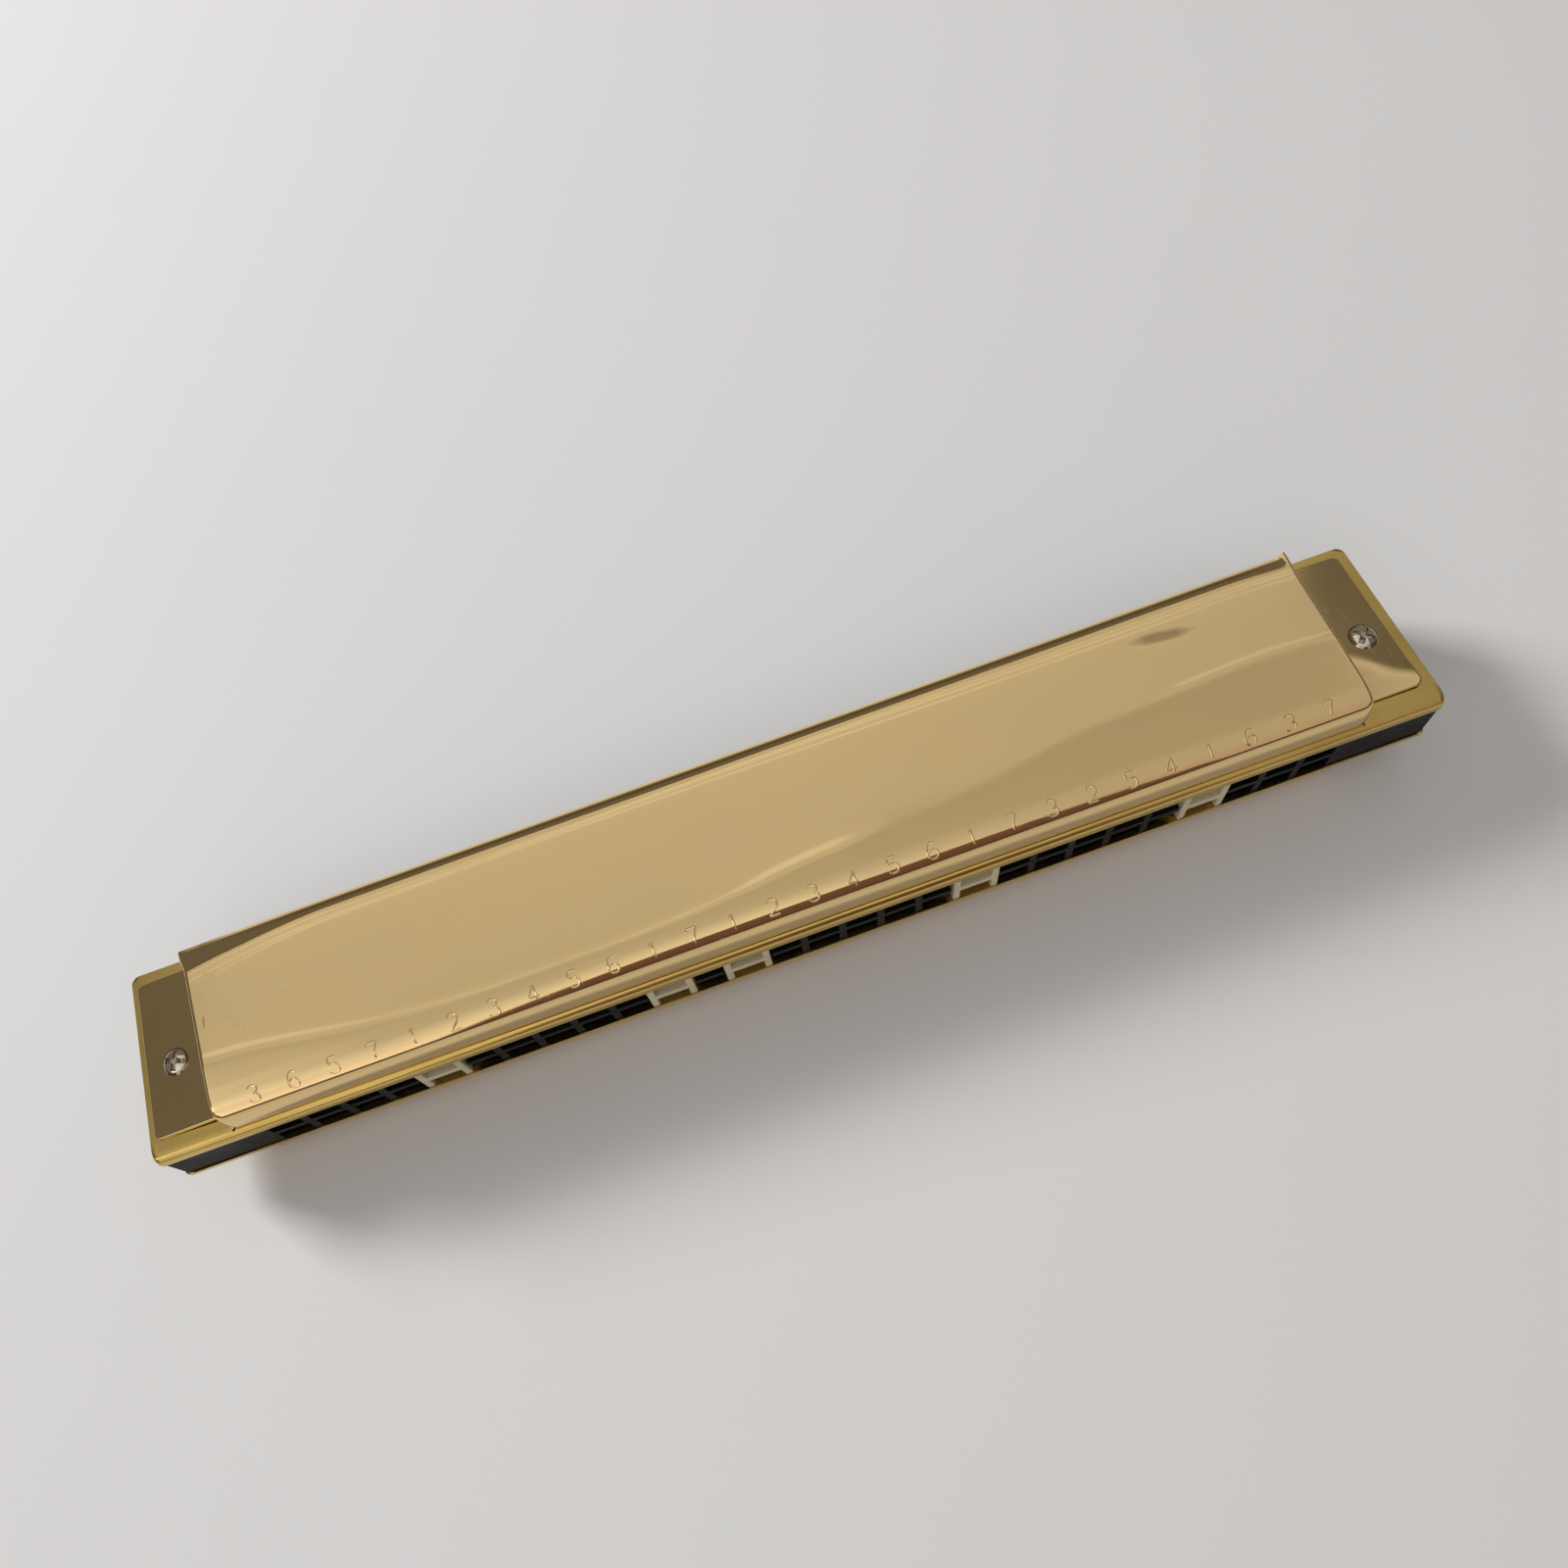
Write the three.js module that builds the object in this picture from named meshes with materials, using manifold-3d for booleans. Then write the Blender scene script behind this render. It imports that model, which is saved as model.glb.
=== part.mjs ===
// A 28 column tremolo harmonica, built the way it comes apart on a bench.
// Millimetres, +Z up. X runs along the notes, low notes at -X, and the mouth side faces -Y.
// The origin is under the middle of the lower cover, which is what the harmonica lies on.

import * as THREE from 'three';
import { mergeVertices } from 'three/addons/utils/BufferGeometryUtils.js';
import Module from 'manifold-3d';

const wasm = await Module();
wasm.setup();

// Driving sizes: the row of notes
const columns = 28;
const pitch = 6.4;
const cellWall = 1.2;
const whiteColumns = [5, 11, 13, 19, 25];

// Driving sizes: the reed plates
const endMargin = 19.8;
const rearLand = 7.7;
const plateThickness = 1.0;
const plateRollRadius = 1.5;
const plateSkirtDrop = 2.2;
const plateRearCornerRadius = 1.4;
const plateFrontCornerRadius = 0.8;

// Driving sizes: the comb
const combThickness = 10.4;
const combWeb = 1.2;
const combEndInset = 0.6;
const combRearInset = 0.6;
const noseInset = 0.3;
const noseReach = 3.7;
const frameDepth = 9.0;

// Driving sizes: the covers
const sheet = 0.6;
const coverHeight = 6.8;
const coverFrontMargin = 0.9;
const coverRearMargin = 0.5;
const tabLength = 10.3;
const tabEndMargin = 1.7;
const tabFrontMargin = 3.8;
const tabRearMargin = 2.2;
const tabCornerRadius = 1.4;
const noseRadius = 3.6;
const crownFlatHalf = 5.0;
const crownFall = 0.3;
const rearBendRun = 2.2;
const rearSlopeRun = 1.7;
const rearSlopeFall = 0.8;
const lipRun = 0.6;
const domeCornerRadius = 3.0;
const domeEdgeRadius = 1.2;

// Driving sizes: the reeds, longest on the lowest note
const longestReed = 17.5;
const shortestReed = 9.5;
const reedWidth = 2.2;
const reedThickness = 0.25;
const reedLift = 0.3;
const reedPad = 2.4;
const rivetRadius = 0.8;
const rivetHeight = 0.3;
const slotSideRoom = 0.2;
const slotTipRoom = 0.4;
const reedFrontLine = 3.6;
const cellRearRoom = 1.6;

// Driving sizes: the fasteners
const boltRadius = 1.2;
const boltHeadRadius = 2.2;
const boltHeadHeight = 1.1;
const boltFromTabEnd = 4.4;
const boltForward = 1.1;
const boltRecessWidth = 0.7;
const boltRecessLength = 2.6;
const boltRecessDepth = 0.6;
const nutAcrossFlats = 4.6;
const nutHeight = 1.4;
const boltEndReach = 0.3;
const screwCount = 5;
const screwRadius = 0.7;
const screwHeadRadius = 1.3;
const screwHeadHeight = 0.5;
const screwSlotWidth = 0.5;
const screwSlotDepth = 0.25;
const screwDepth = 3.4;
const screwFromRear = 2.5;
const screwEndInset = 21.0;

// Clearances and the one overrun that every cut uses
const looseGap = 0.3;
const cutOverrun = 1.0;

// Counts of straight steps in the round stretches
const noseSteps = 7;
const cornerSteps = 4;
const edgeSteps = 3;
const rollSteps = 5;
const boltSides = 16;
const smallSides = 10;
const nutSides = 6;
const domeRings = 3;

// Heights measured from the middle plane of the comb, and half sizes
const plateUnder = combThickness / 2;
const plateTop = plateUnder + plateThickness;
const tabTop = plateTop + sheet;
const crownTop = plateTop + coverHeight;
const webHalf = combWeb / 2;
const plateWidth = reedFrontLine + slotTipRoom + longestReed + reedPad + rearLand;
const plateHalfLength = ((columns - 1) * pitch) / 2 + endMargin;
const plateHalfWidth = plateWidth / 2;
const tabEnd = plateHalfLength - tabEndMargin;
const domeHalfLength = tabEnd - tabLength;
const boltX = tabEnd - boltFromTabEnd;
const coverFront = -plateHalfWidth + coverFrontMargin;
const coverRear = plateHalfWidth - coverRearMargin;
const tabFront = -plateHalfWidth + tabFrontMargin;
const tabRear = plateHalfWidth - tabRearMargin;
const combFront = -plateHalfWidth + noseInset;
const combShoulder = -plateHalfWidth + plateRollRadius;
const combRear = plateHalfWidth - combRearInset;
const cellWidth = pitch - cellWall;
const slotWidth = reedWidth + 2 * slotSideRoom;
const reedLine = -plateHalfWidth + reedFrontLine;

const gold = { color: 0xcba763, roughness: 0.18, metalness: 1.0 };
const brass = { color: 0xb8964f, roughness: 0.35, metalness: 1.0 };
const bronze = { color: 0xc79a55, roughness: 0.3, metalness: 1.0 };
const steel = { color: 0xc9cbcd, roughness: 0.15, metalness: 1.0 };
const black = { color: 0x0d0d0f, roughness: 0.4, metalness: 0.0 };
const cream = { color: 0xe6e0cd, roughness: 0.45, metalness: 0.0 };

// Solids: a closed geometry becomes a solid that can be joined and cut, and comes back as a geometry

function toSolid(geometry) {
  const bare = geometry.clone();
  bare.deleteAttribute('normal');
  bare.deleteAttribute('uv');
  const merged = mergeVertices(bare);
  const vertProperties = new Float32Array(merged.attributes.position.array);
  const triVerts = new Uint32Array(merged.index.array);
  return new wasm.Manifold(new wasm.Mesh({ numProp: 3, vertProperties, triVerts }));
}

function toGeometry(solid) {
  const mesh = solid.getMesh();
  const geometry = new THREE.BufferGeometry();
  geometry.setAttribute('position', new THREE.BufferAttribute(new Float32Array(mesh.vertProperties), 3));
  geometry.setIndex(new THREE.BufferAttribute(new Uint32Array(mesh.triVerts), 1));
  geometry.computeVertexNormals();
  return geometry;
}

function joined(solids) {
  return solids.reduce((sum, solid) => sum.add(solid));
}

function cut(solid, tools) {
  return tools.reduce((rest, tool) => rest.subtract(tool), solid);
}

// Prisms: an outline carried in a straight line along one axis

function outlineShape(points) {
  return new THREE.Shape(points.map(([u, v]) => new THREE.Vector2(u, v)));
}

function extruded(points, length) {
  return new THREE.ExtrudeGeometry(outlineShape(points), { depth: length, bevelEnabled: false });
}

const axisX = new THREE.Vector3(1, 0, 0);
const axisY = new THREE.Vector3(0, 1, 0);
const axisZ = new THREE.Vector3(0, 0, 1);

function prismX(points, from, to) {
  const geometry = extruded(points, to - from);
  geometry.applyMatrix4(new THREE.Matrix4().makeBasis(axisY, axisZ, axisX));
  geometry.translate(from, 0, 0);
  return toSolid(geometry);
}

function prismY(points, from, to) {
  const geometry = extruded(points, to - from);
  geometry.applyMatrix4(new THREE.Matrix4().makeBasis(axisX, axisZ, axisY.clone().negate()));
  geometry.translate(0, to, 0);
  return toSolid(geometry);
}

function prismZ(points, from, to) {
  const geometry = extruded(points, to - from);
  geometry.translate(0, 0, from);
  return toSolid(geometry);
}

function block(low, high) {
  const corners = [[low[0], low[1]], [high[0], low[1]], [high[0], high[1]], [low[0], high[1]]];
  return prismZ(corners, low[2], high[2]);
}

function rod(x, y, radius, from, to, sides) {
  const circle = arc(x, y, radius, 0, 2 * Math.PI, sides);
  circle.pop();
  return prismZ(circle, from, to);
}

function arc(centreU, centreV, radius, start, end, steps) {
  const points = [];
  for (let i = 0; i <= steps; i += 1) {
    const angle = start + ((end - start) * i) / steps;
    points.push([centreU + radius * Math.cos(angle), centreV + radius * Math.sin(angle)]);
  }
  return points;
}

// A rectangle whose four corners may have different radii: low left, low right, high right, high left
function roundedRectangle(low, high, radii, steps) {
  const [r0, r1, r2, r3] = radii;
  const corners = [
    [low[0] + r0, low[1] + r0, r0, Math.PI],
    [high[0] - r1, low[1] + r1, r1, 1.5 * Math.PI],
    [high[0] - r2, high[1] - r2, r2, 0],
    [low[0] + r3, high[1] - r3, r3, 0.5 * Math.PI],
  ];
  return corners.flatMap(([u, v, radius, start]) => {
    if (radius === 0) {
      return [[u, v]];
    }
    return arc(u, v, radius, start, start + Math.PI / 2, steps);
  });
}

// The lower half is the upper half turned upside down across the middle plane
function turnedOver(solid) {
  const geometry = toGeometry(solid);
  geometry.scale(1, 1, -1);
  const index = geometry.index.array;
  for (let i = 0; i < index.length; i += 3) {
    const first = index[i];
    index[i] = index[i + 1];
    index[i + 1] = first;
  }
  return toSolid(geometry);
}

// The notes: where each column is, and how long its reed is

function columnX(column) {
  return (column - (columns + 1) / 2) * pitch;
}

function reedLength(column) {
  const share = (column - 1) / (columns - 1);
  return longestReed * Math.pow(shortestReed / longestReed, share);
}

function isDraw(column) {
  return column % 2 === 0;
}

function allColumns() {
  return Array.from({ length: columns }, (unused, i) => i + 1);
}

function drawColumns() {
  return allColumns().filter(isDraw);
}

function blowColumns() {
  return allColumns().filter((column) => !isDraw(column));
}

function screwPlaces() {
  const reach = plateHalfLength - screwEndInset;
  return Array.from({ length: screwCount }, (unused, i) => [
    -reach + (2 * reach * i) / (screwCount - 1),
    plateHalfWidth - screwFromRear,
  ]);
}

function boltPlaces() {
  return [[-boltX, -boltForward], [boltX, -boltForward]];
}

// Cover: one stamped sheet, a dome open at the back, with a flat tab at each end

// The line of the dome's section from the front foot over the crown to the edge of the rear lip.
// inset moves the whole line inwards, for the inside of the sheet.
function domeLine(inset) {
  const top = crownTop - inset;
  const foot = coverFront + inset;
  const noseCentreY = coverFront + noseRadius;
  const noseCentreZ = plateTop + coverHeight - crownFall - noseRadius;
  const rearStart = coverRear - lipRun - rearSlopeRun - rearBendRun;
  const slopeStart = coverRear - lipRun - rearSlopeRun;
  const slopeEnd = coverRear - lipRun;
  const shoulder = top - crownFall;
  return [
    [foot, plateTop],
    ...arc(noseCentreY, noseCentreZ, noseRadius - inset, Math.PI, Math.PI / 2, noseSteps),
    [-crownFlatHalf, top],
    [crownFlatHalf, top],
    [rearStart, shoulder + crownFall / 3],
    [slopeStart - inset / 2, shoulder],
    [slopeEnd - inset / 2, shoulder - rearSlopeFall],
    [coverRear, shoulder - rearSlopeFall],
  ];
}

function domeOutside() {
  const line = domeLine(0);
  line.push([coverRear, plateTop]);
  const section = prismX(line, -domeHalfLength, domeHalfLength);
  const plan = prismZ(
    roundedRectangle(
      [-domeHalfLength, coverFront],
      [domeHalfLength, coverRear],
      [domeCornerRadius, domeCornerRadius, 0, 0],
      cornerSteps,
    ),
    plateTop - cutOverrun,
    crownTop + cutOverrun,
  );
  const front = prismY(
    roundedRectangle(
      [-domeHalfLength, plateTop],
      [domeHalfLength, crownTop],
      [0, 0, domeEdgeRadius, domeEdgeRadius],
      edgeSteps,
    ),
    coverFront - cutOverrun,
    coverRear + cutOverrun,
  );
  return section.intersect(plan).intersect(front);
}

function domeInside() {
  const half = domeHalfLength - sheet;
  const line = domeLine(sheet);
  line[0][1] = plateTop - cutOverrun;
  line[line.length - 1][0] = coverRear + cutOverrun;
  line.push([coverRear + cutOverrun, plateTop - cutOverrun]);
  const section = prismX(line, -half, half);
  const innerCorner = domeCornerRadius - sheet;
  const plan = prismZ(
    roundedRectangle(
      [-half, coverFront + sheet],
      [half, coverRear + 2 * cutOverrun],
      [innerCorner, innerCorner, 0, 0],
      cornerSteps,
    ),
    plateTop - 2 * cutOverrun,
    crownTop + cutOverrun,
  );
  const innerEdge = domeEdgeRadius - sheet;
  const front = prismY(
    roundedRectangle(
      [-half, plateTop - 2 * cutOverrun],
      [half, crownTop - sheet],
      [0, 0, innerEdge, innerEdge],
      edgeSteps,
    ),
    coverFront - cutOverrun,
    coverRear + 2 * cutOverrun,
  );
  return section.intersect(plan).intersect(front);
}

function coverTab(side) {
  const inner = domeHalfLength - sheet / 2;
  const low = [side > 0 ? inner : -tabEnd, tabFront];
  const high = [side > 0 ? tabEnd : -inner, tabRear];
  const r = tabCornerRadius;
  const radii = side > 0 ? [0, r, r, 0] : [r, 0, 0, r];
  return prismZ(roundedRectangle(low, high, radii, cornerSteps), plateTop, tabTop);
}

function boltHoles() {
  return boltPlaces().map(([x, y]) => (
    rod(x, y, boltRadius + looseGap, -tabTop - cutOverrun, tabTop + cutOverrun, boltSides)
  ));
}

function coverSolid() {
  const shell = domeOutside().subtract(domeInside());
  return cut(joined([shell, coverTab(-1), coverTab(1)]), boltHoles());
}

// Reed: a strip on a riveted pad, lifted clear of the slot that it speaks through.
// It is drawn on the upper plate's top. pad and tip give its two ends along Y.
function reedSolid(x, pad, tip, base, up) {
  const along = Math.sign(tip - pad);
  const padEnd = pad + along * reedPad;
  const strip = [
    [pad, base],
    [padEnd, base],
    [padEnd, base + up * reedLift],
    [tip, base + up * reedLift],
    [tip, base + up * (reedLift + reedThickness)],
    [pad, base + up * (reedLift + reedThickness)],
  ];
  const half = reedWidth / 2;
  const headBase = base + up * (reedLift + reedThickness / 2);
  const headTop = base + up * (reedLift + reedThickness + rivetHeight);
  const padMiddle = (pad + padEnd) / 2;
  const [low, high] = up > 0 ? [headBase, headTop] : [headTop, headBase];
  return prismX(strip, x - half, x + half).add(rod(x, padMiddle, rivetRadius, low, high, smallSides));
}

// A draw reed is riveted at the mouth end on the outside, a blow reed at the back on the comb side
function drawReed(column) {
  const pad = reedLine;
  return reedSolid(columnX(column), pad, pad + reedPad + reedLength(column), plateTop, 1);
}

function blowReed(column) {
  const pad = reedLine + slotTipRoom + reedLength(column) + reedPad;
  return reedSolid(columnX(column), pad, reedLine + slotTipRoom, plateUnder, -1);
}

function reedSlot(column) {
  const start = isDraw(column) ? reedLine + reedPad : reedLine;
  const x = columnX(column);
  return block(
    [x - slotWidth / 2, start, plateUnder - cutOverrun],
    [x + slotWidth / 2, start + reedLength(column) + slotTipRoom, plateTop + cutOverrun],
  );
}

// Reed plate: flat brass whose front edge is rolled down over the comb
function plateSection() {
  const front = -plateHalfWidth;
  const bendY = front + plateRollRadius;
  const bendZ = plateTop - plateRollRadius;
  const innerRadius = plateRollRadius - plateThickness;
  return [
    [plateHalfWidth, plateTop],
    ...arc(bendY, bendZ, plateRollRadius, Math.PI / 2, Math.PI, rollSteps),
    [front, plateTop - plateSkirtDrop],
    [front + plateThickness, plateTop - plateSkirtDrop],
    ...arc(bendY, bendZ, innerRadius, Math.PI, Math.PI / 2, rollSteps),
    [plateHalfWidth, plateUnder],
  ];
}

function plateBlank() {
  const section = prismX(plateSection(), -plateHalfLength, plateHalfLength);
  const r = plateFrontCornerRadius;
  const plan = prismZ(
    roundedRectangle(
      [-plateHalfLength, -plateHalfWidth],
      [plateHalfLength, plateHalfWidth],
      [r, r, plateRearCornerRadius, plateRearCornerRadius],
      cornerSteps,
    ),
    plateTop - plateSkirtDrop - cutOverrun,
    plateTop + cutOverrun,
  );
  return section.intersect(plan);
}

function screwHoles(bottom) {
  return screwPlaces().map(([x, y]) => (
    rod(x, y, screwRadius + looseGap, bottom, plateTop + cutOverrun, smallSides)
  ));
}

function reedPlateSolid() {
  const cuts = [...allColumns().map(reedSlot), ...boltHoles(), ...screwHoles(plateUnder - cutOverrun)];
  return joined([cut(plateBlank(), cuts), ...blowColumns().map(blowReed)]);
}

// Comb: black moulding with two rows of cells, stepped in front to seat the rolled plate edges

// The section through comb and frames, with its front at the given place
function combSection(front, rear) {
  return [
    [front, -noseReach],
    [combShoulder, -noseReach],
    [combShoulder, -plateUnder],
    [rear, -plateUnder],
    [rear, plateUnder],
    [combShoulder, plateUnder],
    [combShoulder, noseReach],
    [front, noseReach],
  ];
}

function cellRear(column) {
  return reedLine + slotTipRoom + reedLength(column) + reedPad + cellRearRoom;
}

function cellTools(column) {
  const x = columnX(column);
  const half = cellWidth / 2;
  const front = combFront - cutOverrun;
  return [
    block([x - half, front, webHalf], [x + half, cellRear(column), plateUnder + cutOverrun]),
    block([x - half, front, -plateUnder - cutOverrun], [x + half, cellRear(column), -webHalf]),
  ];
}

function framePocket(column) {
  const x = columnX(column);
  const half = (pitch + cellWall) / 2 + looseGap;
  const top = plateUnder + cutOverrun;
  const rear = combFront + frameDepth + looseGap;
  return block([x - half, combFront - cutOverrun, -top], [x + half, rear, top]);
}

function combSolid() {
  const half = plateHalfLength - combEndInset;
  const blank = prismX(combSection(combFront, combRear), -half, half);
  const deepHoles = screwPlaces().flatMap(([x, y]) => {
    const depth = screwDepth + 2 * looseGap;
    const radius = screwRadius + looseGap;
    return [
      rod(x, y, radius, plateUnder - depth, plateUnder + cutOverrun, smallSides),
      rod(x, y, radius, -plateUnder - cutOverrun, -plateUnder + depth, smallSides),
    ];
  });
  const cuts = [
    ...allColumns().flatMap(cellTools),
    ...whiteColumns.map(framePocket),
    ...boltHoles(),
    ...deepHoles,
  ];
  return cut(blank, cuts);
}

// White frame round the cells of the tonic note: two side walls and the floor between the rows
function frameSolid(column) {
  const x = columnX(column);
  const half = (pitch + cellWall) / 2;
  const front = -plateHalfWidth;
  const blank = prismX(combSection(front, combFront + frameDepth), x - half, x + half);
  const inner = cellWidth / 2;
  const rear = combFront + frameDepth + cutOverrun;
  const low = plateUnder + cutOverrun;
  return cut(blank, [
    block([x - inner, front - cutOverrun, webHalf], [x + inner, rear, low]),
    block([x - inner, front - cutOverrun, -low], [x + inner, rear, -webHalf]),
  ]);
}

// Fasteners

// A turned solid: radius and height pairs, from the axis at the bottom to the axis at the top
function turned(profile, x, y, sides) {
  const points = profile.map(([radius, height]) => new THREE.Vector2(radius, height));
  const geometry = new THREE.LatheGeometry(points, sides);
  geometry.rotateX(Math.PI / 2);
  geometry.translate(x, y, 0);
  return toSolid(geometry);
}

// The curved top of a screw head, from its rim to the axis
function headCurve(radius, base, height) {
  const points = [];
  for (let i = 0; i <= domeRings; i += 1) {
    const angle = (Math.PI / 2) * (i / domeRings);
    const rim = i === domeRings ? 0 : radius * Math.cos(angle);
    points.push([rim, base + height * (1 / 3 + (2 / 3) * Math.sin(angle))]);
  }
  return points;
}

function boltSolid(x, y) {
  const bottom = -tabTop - nutHeight - boltEndReach;
  const profile = [
    [0, bottom],
    [boltRadius, bottom],
    [boltRadius, tabTop],
    [boltHeadRadius, tabTop],
    ...headCurve(boltHeadRadius, tabTop, boltHeadHeight),
  ];
  const top = tabTop + boltHeadHeight;
  const arm = boltRecessLength / 2;
  const half = boltRecessWidth / 2;
  return cut(turned(profile, x, y, boltSides), [
    block([x - arm, y - half, top - boltRecessDepth], [x + arm, y + half, top + cutOverrun]),
    block([x - half, y - arm, top - boltRecessDepth], [x + half, y + arm, top + cutOverrun]),
  ]);
}

function nutSolid(x, y) {
  const corner = nutAcrossFlats / 2 / Math.cos(Math.PI / nutSides);
  const bottom = -tabTop - nutHeight;
  const outside = rod(x, y, corner, bottom, -tabTop, nutSides);
  const boreRadius = boltRadius + looseGap;
  const bore = rod(x, y, boreRadius, bottom - cutOverrun, -tabTop + cutOverrun, boltSides);
  return outside.subtract(bore);
}

function plateScrewSolid(x, y) {
  const bottom = plateUnder - screwDepth;
  const profile = [
    [0, bottom],
    [screwRadius, bottom],
    [screwRadius, plateTop],
    [screwHeadRadius, plateTop],
    [screwHeadRadius, plateTop + screwHeadHeight],
    [0, plateTop + screwHeadHeight],
  ];
  const top = plateTop + screwHeadHeight;
  const half = screwSlotWidth / 2;
  const arm = screwHeadRadius + cutOverrun;
  const slot = block([x - arm, y - half, top - screwSlotDepth], [x + arm, y + half, top + cutOverrun]);
  return turned(profile, x, y, smallSides).subtract(slot);
}

// Assembly

const harmonica = new THREE.Group();
harmonica.position.z = crownTop;

function place(name, solid, finish) {
  const mesh = new THREE.Mesh(toGeometry(solid), new THREE.MeshStandardMaterial(finish));
  mesh.name = name;
  harmonica.add(mesh);
}

function placePair(name, solid, finish) {
  place(`upper_${name}`, solid, finish);
  place(`lower_${name}`, turnedOver(solid), finish);
}

function twoDigits(number) {
  return String(number).padStart(2, '0');
}

place('comb', combSolid(), black);
for (const column of whiteColumns) {
  place(`do_hole_frame_${twoDigits(column)}`, frameSolid(column), cream);
}
placePair('reed_plate', reedPlateSolid(), brass);
for (const column of drawColumns()) {
  placePair(`draw_reed_${twoDigits(column)}`, drawReed(column), bronze);
}
screwPlaces().forEach(([x, y], i) => {
  placePair(`plate_screw_${i + 1}`, plateScrewSolid(x, y), brass);
});
placePair('cover', coverSolid(), gold);
boltPlaces().forEach(([x, y], i) => {
  const side = i === 0 ? 'left' : 'right';
  place(`cover_bolt_${side}`, boltSolid(x, y), steel);
  place(`cover_nut_${side}`, nutSolid(x, y), steel);
});

export default harmonica;
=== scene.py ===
# %% [markdown]
# # A tremolo harmonica, dressed around its solid model
# The solid model comes first and fixes every size. This lesson builds the visible pieces around it: the
# polished covers with their stamped numbers, the rolled reed plates, the reeds, the moulded comb and the
# fasteners. Each shape is a formula on a grid of two parameters, so one small change to a number moves a
# whole surface. The other way would be modelling by hand, which can't be rerun or explained line by line.

import math

import bpy
import bmesh
import numpy as np
from mathutils import Matrix, Vector


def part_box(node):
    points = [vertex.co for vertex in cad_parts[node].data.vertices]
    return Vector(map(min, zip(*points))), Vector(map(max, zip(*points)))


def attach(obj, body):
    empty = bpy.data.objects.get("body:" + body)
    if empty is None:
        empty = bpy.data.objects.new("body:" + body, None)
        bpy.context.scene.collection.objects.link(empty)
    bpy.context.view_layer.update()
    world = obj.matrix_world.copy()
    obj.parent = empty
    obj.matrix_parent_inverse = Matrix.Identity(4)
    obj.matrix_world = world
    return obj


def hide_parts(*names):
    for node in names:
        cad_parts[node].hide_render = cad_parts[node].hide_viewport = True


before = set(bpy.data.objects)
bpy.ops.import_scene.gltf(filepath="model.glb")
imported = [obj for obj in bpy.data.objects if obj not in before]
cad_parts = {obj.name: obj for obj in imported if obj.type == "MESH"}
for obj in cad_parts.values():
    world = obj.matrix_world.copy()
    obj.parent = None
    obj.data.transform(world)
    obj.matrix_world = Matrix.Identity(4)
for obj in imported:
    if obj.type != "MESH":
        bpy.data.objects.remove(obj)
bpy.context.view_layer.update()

# %% [markdown]
# The shapes are written in millimetres, because that is how an instrument maker measures. They are turned
# into metres once, where a mesh is made. The heights that the pieces share come from the solid model itself.

# %% Sizes read from the solid model
MM = 0.001
SHEET = 0.6  # thickness of the covers
HEAD_GAP = 0.12  # air between a cover's tab and the bolt's head


def corners(node):
    """The lowest and highest corner of a solid, in millimetres."""
    low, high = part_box(node)
    return np.array(low) / MM, np.array(high) / MM


plate_low, plate_high = corners("upper_reed_plate")
cover_low, cover_high = corners("upper_cover")
comb_low, comb_high = corners("comb")
middle = (comb_low[2] + comb_high[2]) / 2
plate_top = cover_low[2] - middle
crown_top = cover_high[2] - middle
plate_half_length = plate_high[0]
plate_front, plate_rear = plate_low[1], plate_high[1]
head_foot = plate_top + SHEET + HEAD_GAP
print(f"comb middle at {middle:.2f}, plate top {plate_top:.2f} and crown {crown_top:.2f} above it")

# %% [markdown]
# Three helpers do all the mesh work. The first joins a grid of points into four-sided faces. The second puts
# arrays of points and faces into one mesh. The third applies the modifiers and marks the sharp edges, so
# that flat areas stay flat in a mirror finish.

# %% Grids and closed parts
def grid_faces(rows, columns, close_rows=False, close_columns=False):
    """Four-sided faces of a rows by columns grid: each joins a point to the next one in both directions. They
    face the side from which a turn from the row direction to the column direction goes anticlockwise."""
    row = np.arange(rows if close_rows else rows - 1)
    column = np.arange(columns if close_columns else columns - 1)
    row, column = np.meshgrid(row, column, indexing="ij")
    next_row, next_column = (row + 1) % rows, (column + 1) % columns
    corners_of_face = [row * columns + column, next_row * columns + column,
                       next_row * columns + next_column, row * columns + next_column]
    return np.stack(corners_of_face, -1).reshape(-1, 4)


def facing_out(points, faces):
    """Turns a closed part's faces round if they enclose a negative volume. The volume is a sixth of the sum,
    over the triangles that fan out of each face's first corner, of their corners' triple product."""
    points = np.asarray(points, float).reshape(-1, 3)
    fans = [(f[0], f[k], f[k + 1]) for f in faces for k in range(1, len(f) - 1)]
    a, b, c = (points[np.array(fans)[:, k]] - points.mean(0) for k in range(3))
    volume = np.einsum("ij,ij->i", a, np.cross(b, c)).sum() / 6
    return points, [list(f)[::-1] for f in faces] if volume < 0 else [list(f) for f in faces]


def join_parts(parts):
    """Stacks (points, faces) pairs into one pair, moving each face list on by the points before it."""
    points, faces, start = [], [], 0
    for part_points, part_faces in parts:
        part_points = np.asarray(part_points, float).reshape(-1, 3)
        points.append(part_points)
        faces += [[int(i) + start for i in face] for face in part_faces]
        start += len(part_points)
    return np.concatenate(points), faces


print("a grid of 4 by 3 points has", len(grid_faces(4, 3)), "faces")


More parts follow.
